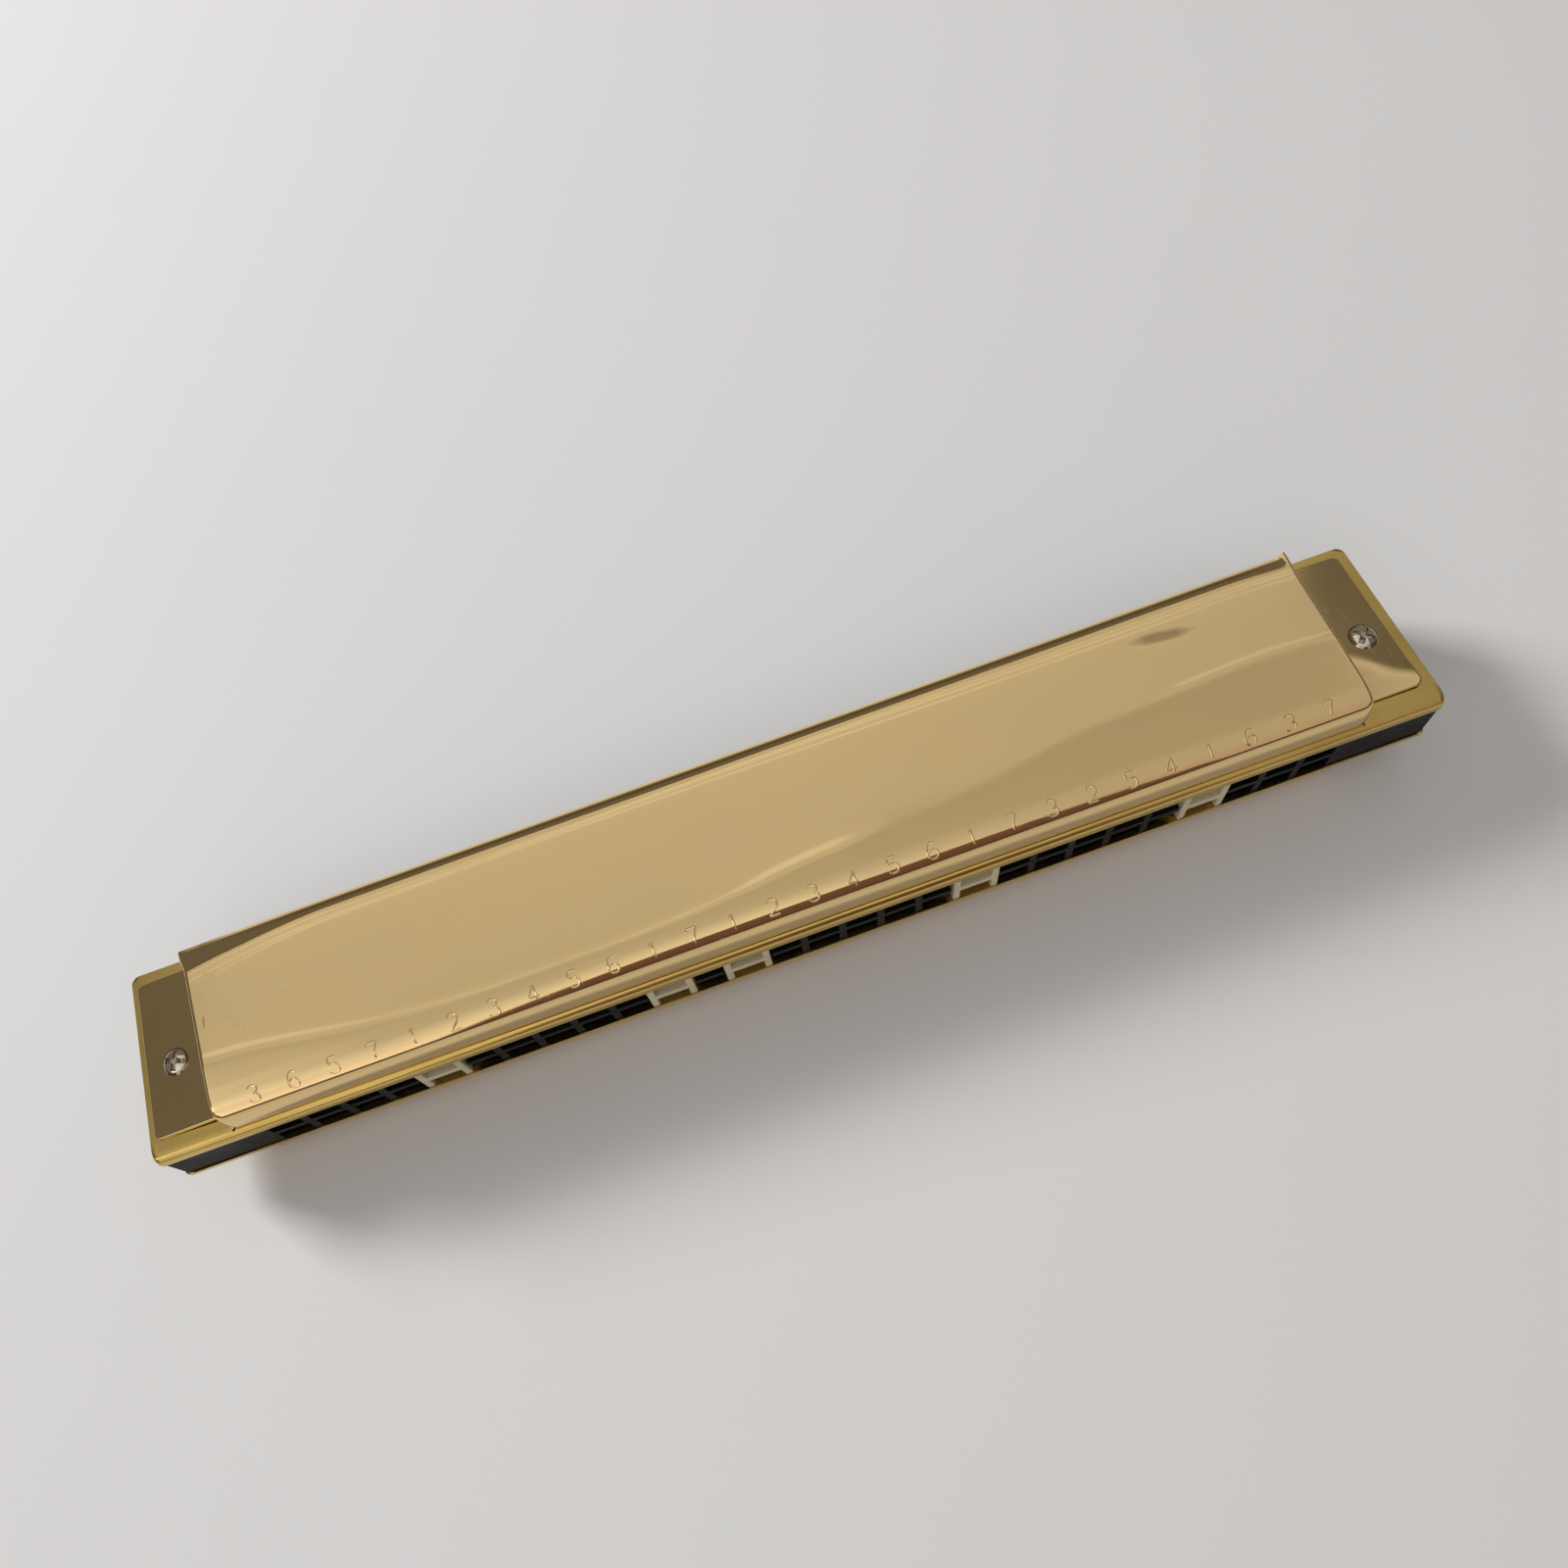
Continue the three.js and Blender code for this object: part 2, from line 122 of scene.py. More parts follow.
# %% Pieces and their modifiers
def new_piece(name, parts, material, replaced=(), lower=False):
    """One object from (points, faces) pairs. Heights are from the comb's middle plane, and lower=True turns
    the shape over by changing their sign and the direction of each face."""
    points, faces = join_parts(parts)
    if lower:
        points = points * [1, 1, -1]
        faces = [face[::-1] for face in faces]
    mesh = bpy.data.meshes.new(name)
    mesh.from_pydata(((points + [0, 0, middle]) * MM).tolist(), [], faces)
    mesh.validate()
    mesh.materials.append(material)
    piece = bpy.data.objects.new(name, mesh)
    bpy.context.scene.collection.objects.link(piece)
    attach(piece, "root")
    if replaced:
        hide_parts(*replaced)
    return piece


def add_modifier(piece, kind, **settings):
    """Adds one modifier and sets what it is given."""
    modifier = piece.modifiers.new(kind.title(), kind)
    for key, value in settings.items():
        setattr(modifier, key, value)
    return modifier


def smooth(mesh):
    """Smooth shading on every face."""
    mesh.polygons.foreach_set("use_smooth", np.ones(len(mesh.polygons), bool))


def finish_mesh(piece, sharp_degrees=35.0, weigh=False):
    """Applies the modifiers, smooths the shading and keeps the edges sharper than the angle."""
    smooth(piece.data)
    graph = bpy.context.evaluated_depsgraph_get()
    mesh = bpy.data.meshes.new_from_object(piece.evaluated_get(graph))
    piece.modifiers.clear()
    piece.data = mesh
    smooth(mesh)
    mesh.set_sharp_from_angle(angle=math.radians(sharp_degrees))
    if weigh:
        add_modifier(piece, "WEIGHTED_NORMAL", keep_sharp=True, weight=80)
    return piece


print("piece helpers ready")

# %% [markdown]
# ## Finishes
# Metal looks like metal because of what it reflects and how evenly. So the colour hardly changes over a
# cover, while the roughness does: handling leaves faint smudges, and cleaning leaves hair scratches. Each
# effect is a node group with its own sliders, and each finish places the groups that it needs.

# %% Helpers for node trees
def new_group(name, inputs, outputs):
    """An empty shader group with named number inputs and the given outputs, and its two end nodes."""
    group = bpy.data.node_groups.new(name, "ShaderNodeTree")
    for socket_name, value in inputs:
        socket = group.interface.new_socket(socket_name, in_out="INPUT", socket_type="NodeSocketFloat")
        socket.default_value = value
    for socket_name, kind in outputs:
        group.interface.new_socket(socket_name, in_out="OUTPUT", socket_type=kind)
    return group, group.nodes.new("NodeGroupInput"), group.nodes.new("NodeGroupOutput")


def node(tree, kind, **values):
    """A new node. A value named after a property sets it, and any other one sets the input of that name."""
    made = tree.nodes.new(kind)
    for key, value in values.items():
        if hasattr(made, key):
            setattr(made, key, value)
        else:
            made.inputs[key.replace("_", " ")].default_value = value
    return made


def stretched_noise(tree, stretch, scale, detail=3.0, roughness=0.5):
    """Noise on Object coordinates, stretched by three factors. Scale is in waves per metre."""
    place = node(tree, "ShaderNodeTexCoord")
    mapping = node(tree, "ShaderNodeMapping")
    mapping.inputs["Scale"].default_value = stretch
    noise = node(tree, "ShaderNodeTexNoise", Detail=detail, Roughness=roughness)
    tree.links.new(place.outputs["Object"], mapping.inputs["Vector"])
    tree.links.new(mapping.outputs["Vector"], noise.inputs["Vector"])
    if isinstance(scale, bpy.types.NodeSocket):
        tree.links.new(scale, noise.inputs["Scale"])
    else:
        noise.inputs["Scale"].default_value = scale
    return noise.outputs["Fac"]


print("group and noise helpers ready")


# %% Ranges and sums in node trees
def spread(tree, value, low, high, to_low=0.0, to_high=1.0):
    """Maps a value from one range to another, held at the ends."""
    made = node(tree, "ShaderNodeMapRange")
    tree.links.new(value, made.inputs["Value"])
    for name, number in (("From Min", low), ("From Max", high), ("To Min", to_low), ("To Max", to_high)):
        if isinstance(number, bpy.types.NodeSocket):
            tree.links.new(number, made.inputs[name])
        else:
            made.inputs[name].default_value = number
    return made.outputs["Result"]


def combine(tree, operation, a, b):
    """One arithmetic node on two values."""
    made = node(tree, "ShaderNodeMath", operation=operation)
    for socket, value in zip(made.inputs, (a, b)):
        if isinstance(value, bpy.types.NodeSocket):
            tree.links.new(value, socket)
        else:
            socket.default_value = value
    return made.outputs[0]


print("range and sum helpers ready")


# %% Shared effects: handling marks, ripple, rolled grain
def handling_marks():
    """Mask of cloudy smudges, a few millimetres to a few centimetres wide: broad noise times finer noise."""
    group, start, end = new_group("handling marks", [("Size", 60.0), ("Cover", 0.5)],
                                  [("Mask", "NodeSocketFloat")])
    broad = stretched_noise(group, (1, 1.6, 1), start.outputs["Size"], 3)
    fine = stretched_noise(group, (1, 1, 1), 520.0, 4, 0.6)
    high = combine(group, "SUBTRACT", 0.95, combine(group, "MULTIPLY", start.outputs["Cover"], 0.5))
    cloud = spread(group, broad, 0.35, high)
    speck = spread(group, fine, 0.3, 0.75, 0.55, 1.0)
    group.links.new(combine(group, "MULTIPLY", cloud, speck), end.inputs["Mask"])
    return group


def sheet_ripple():
    """Height of the gentle waves of pressed sheet metal: one slow noise, longer along the instrument."""
    group, start, end = new_group("sheet ripple", [("Size", 30.0)], [("Height", "NodeSocketFloat")])
    group.links.new(stretched_noise(group, (0.5, 1.3, 1), start.outputs["Size"], 1.5, 0.4),
                    end.inputs["Height"])
    return group


def rolled_grain():
    """Height and mask of the fine lines that rolling leaves along brass strip: noise stretched along X."""
    group, start, end = new_group("rolled grain", [("Size", 900.0)],
                                  [("Height", "NodeSocketFloat"), ("Mask", "NodeSocketFloat")])
    lines = stretched_noise(group, (0.03, 1.6, 1.6), start.outputs["Size"], 4, 0.6)
    group.links.new(lines, end.inputs["Height"])
    group.links.new(spread(group, lines, 0.35, 0.65), end.inputs["Mask"])
    return group


effects = {made.name: made for made in (handling_marks(), sheet_ripple(), rolled_grain())}
print("shader groups:", sorted(effects))


# %% Shared effects: scratches, oval marks, moulded grain
def hair_scratches():
    """Mask of thin random lines in two directions: the narrow middle of two stretched noises."""
    group, start, end = new_group("hair scratches", [("Size", 260.0), ("Width", 0.006)],
                                  [("Mask", "NodeSocketFloat")])
    found = []
    for stretch in ((0.12, 1.5, 1.0), (1.2, 0.15, 1.0)):
        wave = stretched_noise(group, stretch, start.outputs["Size"], 1.0, 0.4)
        away = combine(group, "ABSOLUTE", combine(group, "SUBTRACT", wave, 0.52), 0.0)
        line = spread(group, away, 0.0, start.outputs["Width"], 1.0, 0.0)
        patch = stretched_noise(group, (1, 1, 1), 90.0 + 40.0 * len(found), 2.0)
        found.append(combine(group, "MULTIPLY", line, spread(group, patch, 0.5, 0.62)))
    group.links.new(combine(group, "MAXIMUM", found[0], found[1]), end.inputs["Mask"])
    return group


def oval_mark():
    """Mask of one soft oval: 1 where the distance from its middle, in half sizes, is under the inner share."""
    sliders = ("X", "Y", "Half Length", "Half Width", "Turn", "Inner", "Outer")
    group, start, end = new_group("oval mark", [(name, 1.0) for name in sliders], [("Mask", "NodeSocketFloat")])
    centre, turn, size = (group.nodes.new("ShaderNodeCombineXYZ") for _ in range(3))
    for target, name in ((centre.inputs["X"], "X"), (centre.inputs["Y"], "Y"), (turn.inputs["Z"], "Turn"),
                         (size.inputs["X"], "Half Length"), (size.inputs["Y"], "Half Width")):
        group.links.new(start.outputs[name], target)
    size.inputs["Z"].default_value = 1.0
    place = group.nodes.new("ShaderNodeTexCoord")
    inside = node(group, "ShaderNodeMapping", vector_type="TEXTURE")
    for target, made in (("Location", centre), ("Rotation", turn), ("Scale", size)):
        group.links.new(made.outputs["Vector"], inside.inputs[target])
    group.links.new(place.outputs["Object"], inside.inputs["Vector"])
    far = node(group, "ShaderNodeVectorMath", operation="LENGTH")
    group.links.new(inside.outputs["Vector"], far.inputs[0])
    rough_edge = combine(group, "ADD", far.outputs["Value"],
                         spread(group, stretched_noise(group, (1, 1, 1), 700.0, 2), 0.3, 0.7, -0.10, 0.10))
    height = group.nodes.new("ShaderNodeSeparateXYZ")
    group.links.new(place.outputs["Object"], height.inputs["Vector"])
    oval = spread(group, rough_edge, start.outputs["Inner"], start.outputs["Outer"], 1.0, 0.0)
    on_top = spread(group, height.outputs["Z"], middle * MM, (middle + 1.0) * MM)
    group.links.new(combine(group, "MULTIPLY", oval, on_top), end.inputs["Mask"])
    return group


def moulded_grain():
    """Height of the fine even texture that a mould leaves on plastic: noise of a few tenths of a millimetre."""
    group, start, end = new_group("moulded grain", [("Size", 5200.0)], [("Height", "NodeSocketFloat")])
    group.links.new(stretched_noise(group, (1, 1, 1), start.outputs["Size"], 3, 0.6), end.inputs["Height"])
    return group


effects.update((made.name, made) for made in (hair_scratches(), oval_mark(), moulded_grain()))
print("shader groups:", sorted(effects))


# %% Helpers that build one finish
def placed(tree, name, **values):
    """A shared effect placed in a material, with its sliders set."""
    made = tree.nodes.new("ShaderNodeGroup")
    made.node_tree = effects[name]
    for key, value in values.items():
        made.inputs[key.replace("_", " ")].default_value = value
    return made


def new_finish(name, metallic, specular=0.5):
    """A material with its shader, metallic and specular level set on the shader's own sockets."""
    material = bpy.data.materials.new(name)
    material.use_nodes = True
    tree = material.node_tree
    shader = tree.nodes["Principled BSDF"]
    shader.inputs["Metallic"].default_value = metallic
    shader.inputs["Specular IOR Level"].default_value = specular
    return material, tree, shader


def blended(tree, shader, mask, first, second, *more):
    """Base colour that goes from the first colour to the second with a mask, then to each further colour, given
    as (mask, colour), with that one's mask."""
    before = first
    for mask, colour in ((mask, second), *more):
        mix = node(tree, "ShaderNodeMix", data_type="RGBA")
        colours = [socket for socket in mix.inputs if socket.type == "RGBA"]
        if isinstance(before, tuple):
            colours[0].default_value = (*before, 1)
        else:
            tree.links.new(before, colours[0])
        colours[1].default_value = (*colour, 1)
        tree.links.new(mask, mix.inputs["Factor"])
        before = [socket for socket in mix.outputs if socket.type == "RGBA"][0]
    tree.links.new(before, shader.inputs["Base Color"])


def bumped(tree, shader, layers):
    """Adds bumps one after another: each layer is (height, strength, distance in millimetres)."""
    before = None
    for height, strength, distance in layers:
        bump = node(tree, "ShaderNodeBump", Strength=strength, Distance=distance * MM)
        tree.links.new(height, bump.inputs["Height"])
        if before:
            tree.links.new(before, bump.inputs["Normal"])
        before = bump.outputs["Normal"]
    tree.links.new(before, shader.inputs["Normal"])


print("finish helpers ready")

# %% [markdown]
# Polished gold plate takes a clear picture of the room, a little clouded by fingers. The reed plates are
# bare rolled brass: yellower, with fine lines along the strip. The reeds are filed bronze, the small screws
# turned brass, and the two bolts bright nickel. The comb is black plastic with a low sheen.


# %% Colours of the finishes, clean and worn, and the painted shade on the bolt heads
GOLD, CLOUDED_GOLD, TARNISHED_GOLD = (0.82, 0.602, 0.287), (0.80, 0.592, 0.292), (0.47, 0.33, 0.17)
BRASS, BROWNED_BRASS = (0.66, 0.470, 0.142), (0.56, 0.390, 0.112)
BRONZE, FILED_BRONZE = (0.80, 0.53, 0.25), (0.66, 0.42, 0.19)
SCREW_BRASS, DIRTY_BRASS = (0.76, 0.56, 0.24), (0.52, 0.36, 0.14)
# the last nickel colour is painted shade for the low recess and rim of the bolt heads
NICKEL, CLOUDED_NICKEL, NICKEL_PAINTED_SHADE = (0.98, 0.90, 0.76), (0.66, 0.57, 0.45), (0.20, 0.15, 0.10)
BLACK, RUBBED_BLACK = (0.004, 0.004, 0.0045), (0.009, 0.009, 0.0095)
CREAM, YELLOWED_CREAM = (0.70, 0.63, 0.42), (0.60, 0.52, 0.33)
PALE_FLOOR, FLOOR_SHADE = (0.76, 0.76, 0.76), (0.78, 0.78, 0.78)
print("gold", GOLD, "brass", BRASS, "nickel", NICKEL)


# %% Gold and brass
def polished_gold():
    """Gold plate: colour and roughness follow the handling marks, hair scratches catch the light. A dull oval
    on the right of the crown and a nick on the left are tarnished."""
    material, tree, shader = new_finish("polished gold", 1.0)
    marks = placed(tree, "handling marks", Size=42.0, Cover=0.5).outputs["Mask"]
    hairs = placed(tree, "hair scratches", Size=240.0, Width=0.005).outputs["Mask"]
    dull = placed(tree, "oval mark", X=0.0694, Y=0.0081, Half_Length=0.0047, Half_Width=0.00105, Turn=-0.11,
                  Inner=0.55, Outer=1.20).outputs["Mask"]
    nick = placed(tree, "oval mark", X=-0.0922, Y=0.0011, Half_Length=0.0002, Half_Width=0.0010, Turn=-0.05,
                  Inner=0.6, Outer=1.2).outputs["Mask"]
    tarnish = combine(tree, "MAXIMUM", dull, combine(tree, "MULTIPLY", nick, 0.7))
    blended(tree, shader, marks, GOLD, CLOUDED_GOLD, (tarnish, TARNISHED_GOLD))
    rough = combine(tree, "ADD", spread(tree, marks, 0, 1, 0.065, 0.12), combine(tree, "MULTIPLY", hairs, 0.10))
    rough = combine(tree, "ADD", rough, combine(tree, "MULTIPLY", tarnish, 0.10))
    tree.links.new(rough, shader.inputs["Roughness"])
    ripple = placed(tree, "sheet ripple", Size=34.0).outputs["Height"]
    bumped(tree, shader, [(ripple, 0.25, 0.25), (hairs, 0.12, 0.01)])
    return material


def satin_brass():
    """Rolled brass strip: lines along X in height and roughness, with a faint browning in patches."""
    material, tree, shader = new_finish("satin brass", 1.0)
    grain = placed(tree, "rolled grain", Size=950.0)
    marks = placed(tree, "handling marks", Size=75.0, Cover=0.4).outputs["Mask"]
    blended(tree, shader, marks, BRASS, BROWNED_BRASS)
    rough = combine(tree, "ADD", spread(tree, grain.outputs["Mask"], 0, 1, 0.15, 0.22),
                    combine(tree, "MULTIPLY", marks, 0.08))
    tree.links.new(rough, shader.inputs["Roughness"])
    bumped(tree, shader, [(grain.outputs["Height"], 0.06, 0.01)])
    return material


gold, brass = polished_gold(), satin_brass()
print("sheet metals:", gold.name, brass.name)


# %% Bronze, screw brass and nickel
def filed_bronze():
    """Reed bronze: file marks along the reed, redder than the plates."""
    material, tree, shader = new_finish("filed bronze", 1.0)
    lines = stretched_noise(tree, (3.0, 0.08, 1.0), 1400.0, 3, 0.6)
    blended(tree, shader, spread(tree, lines, 0.35, 0.65), BRONZE, FILED_BRONZE)
    tree.links.new(spread(tree, lines, 0.3, 0.7, 0.20, 0.36), shader.inputs["Roughness"])
    bumped(tree, shader, [(lines, 0.35, 0.02)])
    return material


def turned_brass():
    """Small screws: brass with a little dirt in patches, and a fine grain."""
    material, tree, shader = new_finish("turned brass", 1.0)
    marks = placed(tree, "handling marks", Size=400.0, Cover=0.8).outputs["Mask"]
    blended(tree, shader, marks, SCREW_BRASS, DIRTY_BRASS)
    tree.links.new(spread(tree, marks, 0, 1, 0.18, 0.34), shader.inputs["Roughness"])
    grain = placed(tree, "moulded grain", Size=3000.0).outputs["Height"]
    bumped(tree, shader, [(grain, 0.15, 0.01)])
    return material


def bright_nickel():
    """Nickel-plated steel: nearly white, clear reflections, faintly clouded. On the bolt heads, painted shade
    darkens what lies low, the recess and the rim: it fades out between two shares of the head's height."""
    material, tree, shader = new_finish("bright nickel", 1.0)
    marks = placed(tree, "handling marks", Size=300.0, Cover=0.6).outputs["Mask"]
    foot, top = middle + head_foot, corners("cover_bolt_left")[1][2]
    unshaded_from, fully_shaded_at = ((foot + share * (top - foot)) * MM for share in (0.62, 0.42))
    place = node(tree, "ShaderNodeTexCoord")
    height = node(tree, "ShaderNodeSeparateXYZ")
    tree.links.new(place.outputs["Object"], height.inputs["Vector"])
    low = spread(tree, height.outputs["Z"], unshaded_from, fully_shaded_at)
    upper_half = spread(tree, height.outputs["Z"], middle * MM, (middle + plate_top) * MM)
    # painted shade: darker where the bolt head lies low, in the recess and round the rim
    painted_shade = combine(tree, "MULTIPLY", combine(tree, "MULTIPLY", low, upper_half), 0.62)
    blended(tree, shader, marks, NICKEL, CLOUDED_NICKEL, (painted_shade, NICKEL_PAINTED_SHADE))
    tree.links.new(spread(tree, marks, 0, 1, 0.04, 0.14), shader.inputs["Roughness"])
    grain = placed(tree, "moulded grain", Size=2600.0).outputs["Height"]
    bumped(tree, shader, [(grain, 0.10, 0.01)])
    return material


bronze, screw_brass, nickel = filed_bronze(), turned_brass(), bright_nickel()
print("other metals:", bronze.name, screw_brass.name, nickel.name)


# %% Plastic finishes
def comb_black():
    """Black moulding: low sheen, fine grain, and greyer where it has been rubbed."""
    material, tree, shader = new_finish("comb black", 0.0, 0.08)
    marks = placed(tree, "handling marks", Size=120.0, Cover=0.6).outputs["Mask"]
    blended(tree, shader, marks, BLACK, RUBBED_BLACK)
    tree.links.new(spread(tree, marks, 0, 1, 0.38, 0.55), shader.inputs["Roughness"])
    grain = placed(tree, "moulded grain", Size=5200.0).outputs["Height"]
    bumped(tree, shader, [(grain, 0.25, 0.01)])
    return material


def frame_cream():
    """Cream moulding: warm white, yellowed a little in patches."""
    material, tree, shader = new_finish("frame cream", 0.0)
    marks = placed(tree, "handling marks", Size=200.0, Cover=0.6).outputs["Mask"]
    blended(tree, shader, marks, CREAM, YELLOWED_CREAM)
    tree.links.new(spread(tree, marks, 0, 1, 0.34, 0.50), shader.inputs["Roughness"])
    grain = placed(tree, "moulded grain", Size=4200.0).outputs["Height"]
    bumped(tree, shader, [(grain, 0.20, 0.01)])
    return material


black, cream = comb_black(), frame_cream()
print("plastics:", black.name, cream.name)

# %% [markdown]
# ## Covers
# A cover is one piece of thin sheet, pressed into a long box that is open at the back. In front it turns
# down over a round nose to the reed plate, behind it bends down a little and ends in a narrow lip, and at
# each end a flat tab takes the bolt. A loft or a bevelled box would give the same outline, but a polished
# sheet shows every change of slope, so the section is worked out as a curve whose bend starts and ends softly.

# %% Sizes of the cover
NOSE_FRONT = cover_low[1]
LIP_REAR = cover_high[1] - 0.6
DOME_HALF = 94.2
DOME_ENDS = {-1: (93.93, 0.0405), 1: (93.56, 0.0224)}  # half length at y = 0, and its growth with y
TABS = {-1: (105.2, -12.4, 13.8), 1: (104.35, -11.85, 14.2)}  # outer end, front and rear
NOSE_BEND = 8.4
CROWN_RISE = crown_top - plate_top
CROWN_DROP = 0.130  # keeps the crest of the crease below the solid's crown
print(f"cover from {NOSE_FRONT:.2f} to {LIP_REAR:.2f}, crown {CROWN_RISE:.2f} over the plate")

# %% Places on the crown
REAR_BEND, REAR_STOP = 13.31, 14.08  # where the slope to the lip starts and ends
LIP_FALL = 0.414  # height lost on the slope
SLIGHT_FALL, SLIGHT_AHEAD = 0.045, 1.2  # slope of the slight bend, and its distance ahead of the slope
RIPPLES = ((0.42, 0.06, 9.0), (1.05, 0.22, 15.0), (1.85, 0.30, 21.0), (2.60, 0.35, 27.0))  # ahead, sway, length
DENT_X, DENT_Y, DENT_TURN, DENT_DEPTH = 69.3, 8.0, 0.11, 0.018
PLAIN = (9.0, 18.0, 62.0, 69.0)  # where the crease has nearly no step
BLURRED = (12.0, 20.0, 36.0, 46.0)  # where it is soft
BROAD = (-10.0, -2.0, 10.0, 18.0)  # where its step is wider
CREASE_AT = ((-96.0, -4.2), (-86.4, -4.8), (-77.5, -6.1), (-67.6, -7.8), (-59.0, -8.7), (-47.8, -9.5),
             (-32.0, -9.7), (-17.0, -9.1), (-8.0, -8.3), (0.6, -6.9), (11.0, -6.2), (22.0, -5.9), (35.0, -4.6),
             (46.0, -2.3), (52.0, -1.4), (60.0, -1.3), (70.0, -0.7), (82.0, -0.2), (90.0, -0.7), (96.0, -1.3))
print("crease given at", len(CREASE_AT), "places, ripples:", len(RIPPLES))


# %% Curves that the cover is made of
def soft_step(t):
    """Goes from 0 to 1 with no slope at either end: t squared times (3 - 2t), held outside."""
    t = np.clip(t, 0, 1)
    return t * t * (3 - 2 * t)


def soft_ramp(t, width):
    """Zero well below t = 0 and t well above it, rounded over the width: width times log(1 + exp(t/width))."""
    return width * np.logaddexp(0, t / width)


def crease_line(x):
    """Where the crown starts to fall to the nose: a smoothed line through the measured places."""
    places = np.array(CREASE_AT)
    shifts = np.linspace(-6, 6, 13)
    weights = np.exp(-(shifts / 4.0) ** 2)
    total = sum(w * np.interp(x + s, places[:, 0], places[:, 1]) for w, s in zip(weights, shifts))
    return total / weights.sum()


def within(x, places):
    """Goes from 0 to 1 between the first two places, and back to 0 between the last two."""
    start, full, fading, end = places
    return soft_step((x - start) / (full - start)) * soft_step((end - x) / (end - fading))


print("soft step at a quarter:", round(float(soft_step(0.25)), 4))


# %% The crown as a height over every point
def crease_fall(x, y):
    """What the crown has lost in front of the crease: a slow fall, less a small step up at the crease, which is
    steepness times width times (1 + tanh(distance / width)). The step is softer or nearly absent in places."""
    crease = crease_line(x)
    steep = (0.084 - 0.0023 * (crease + 9.0)) * (1 - 0.93 * within(x, PLAIN))
    wide = (0.75 - 0.25 * soft_step((x + 72.0) / 10.0) + 0.52 * within(x, BROAD)
            - 0.02 * soft_step((x - 30.0) / 20.0))
    fall = 0.030 * soft_ramp(crease - 0.7 - y, 0.6 + 1.4 * within(x, BLURRED))
    return fall - steep * wide * (1 + np.tanh((crease - y) / wide))


def rear_fall(x, y):
    """What the crown has lost at the back: a slow fall, a slight bend with four fine ripples, each a small step
    along a wavy line, and then the slope down to the lip, earlier near the ends and steeper on the left."""
    left = np.clip((-x - 70.0) / 24.2, 0, 1) ** 1.6
    right = soft_step((x - 84.0) / 10.0)
    bend = REAR_BEND - 2.35 * left - 0.5 * right
    slight = (SLIGHT_FALL * soft_ramp(y - bend + SLIGHT_AHEAD, 0.12)
              - 0.025 * soft_ramp(y - REAR_STOP, 0.10))
    for ahead, sway, length in RIPPLES:
        line = bend - ahead - 0.3 * ahead * left + sway * np.sin(x / length + ahead)
        slight = slight + 0.0035 * (1 + np.tanh((y - line) / 0.12))
    fall = (LIP_FALL + 0.45 * left) * (1 - soft_step((x - 92.6) / 0.9))
    slope_down = fall / (REAR_STOP - bend) * (0.87 * soft_ramp(y - bend, 0.12 + 0.25 * left)
                                              + 0.26 * soft_ramp(y - (bend + REAR_STOP) / 2, 0.15)
                                              - 1.13 * soft_ramp(y - REAR_STOP, 0.08))
    return 0.004 * soft_ramp(y - 5.0, 1.2) + slight + slope_down


def dent(x, y):
    """A shallow oval dent: depth times exp(-(along / 4.6) to the fourth - (across / 0.85) squared)."""
    along = x - DENT_X - DENT_TURN * (y - DENT_Y)
    across = y - DENT_Y + DENT_TURN * (x - DENT_X)
    return DENT_DEPTH * np.exp(-(along / 4.6) ** 4 - (across / 0.85) ** 2)


def crown_height(x, y):
    """Height of the cover's top over the reed plate: flat, less the losses in front, behind and in the dent."""
    return CROWN_RISE - CROWN_DROP - crease_fall(x, y) - rear_fall(x, y) - dent(x, y)


print("crown at its middle:", round(float(crown_height(np.array(0.0), np.array(0.0))), 3))


# %% The section from foot to lip
def section_path():
    """The cover's section from foot to nose to lip, as arrays (y, height, kind). The wall is straight, then
    the slope angle goes from upright to flat by a soft step along the bend, then y runs on to the lip."""
    wall = np.linspace(0, 1, 7)[:-1]
    t = np.linspace(0, 1, 41)
    angle = np.radians(90 - 87.2 * soft_step(t))
    step = NOSE_BEND / (len(t) - 1)
    run, rise = (np.concatenate([[0], np.cumsum((f(angle[1:]) + f(angle[:-1])) / 2 * step)])
                 for f in (np.cos, np.sin))
    finer_from = 8.5
    back = np.concatenate([np.linspace(NOSE_FRONT + run[-1], finer_from, 44)[1:],
                           np.linspace(finer_from, LIP_REAR, 92)[1:]])
    return wall, run, rise, back


wall_share, nose_run, nose_rise, crown_y = section_path()
nose_end = NOSE_FRONT + nose_run[-1]
print(f"nose is {nose_run[-1]:.2f} wide and {nose_rise[-1]:.2f} tall")


# %% The dome's section at each x
def dome_half(side, y):
    """Distance of a dome's end from the middle: a straight line in y, because the ends aren't quite square."""
    start, growth = DOME_ENDS[side]
    return start + growth * y


def dome_section(x):
    """Section at each x: rows follow x, columns the path from foot to lip. The wall's height takes up
    what the crown's height leaves under the nose. Returns y and height over the plate."""
    x = np.asarray(x, float)[:, None]
    top_at_nose = crown_height(x, np.full_like(x, nose_end))
    wall_top = top_at_nose - nose_rise[-1]
    y = np.concatenate([np.full(len(wall_share), NOSE_FRONT), NOSE_FRONT + nose_run, crown_y])
    height = np.concatenate([wall_top * wall_share, wall_top + nose_rise,
                             crown_height(x, crown_y[None, :])], 1)
    return np.broadcast_to(y, height.shape), height


print("dome ends at y = 0:", [dome_half(side, 0.0) for side in (-1, 1)])


# %% The dome's surface
def end_profile(radius, count=13):
    """From the foot of the end wall over its rounded top edge: inset from the end, and drop from the crown."""
    turn = np.linspace(0, math.pi / 2, count)
    return radius * (1 - np.sin(turn)), radius * (1 - np.cos(turn))


EDGE, CORNER = 0.45, 1.5  # radius along the top of the end walls, and of the front corners in plan
CLOSE_ROWS = 6.0  # length at each end that has closer rows


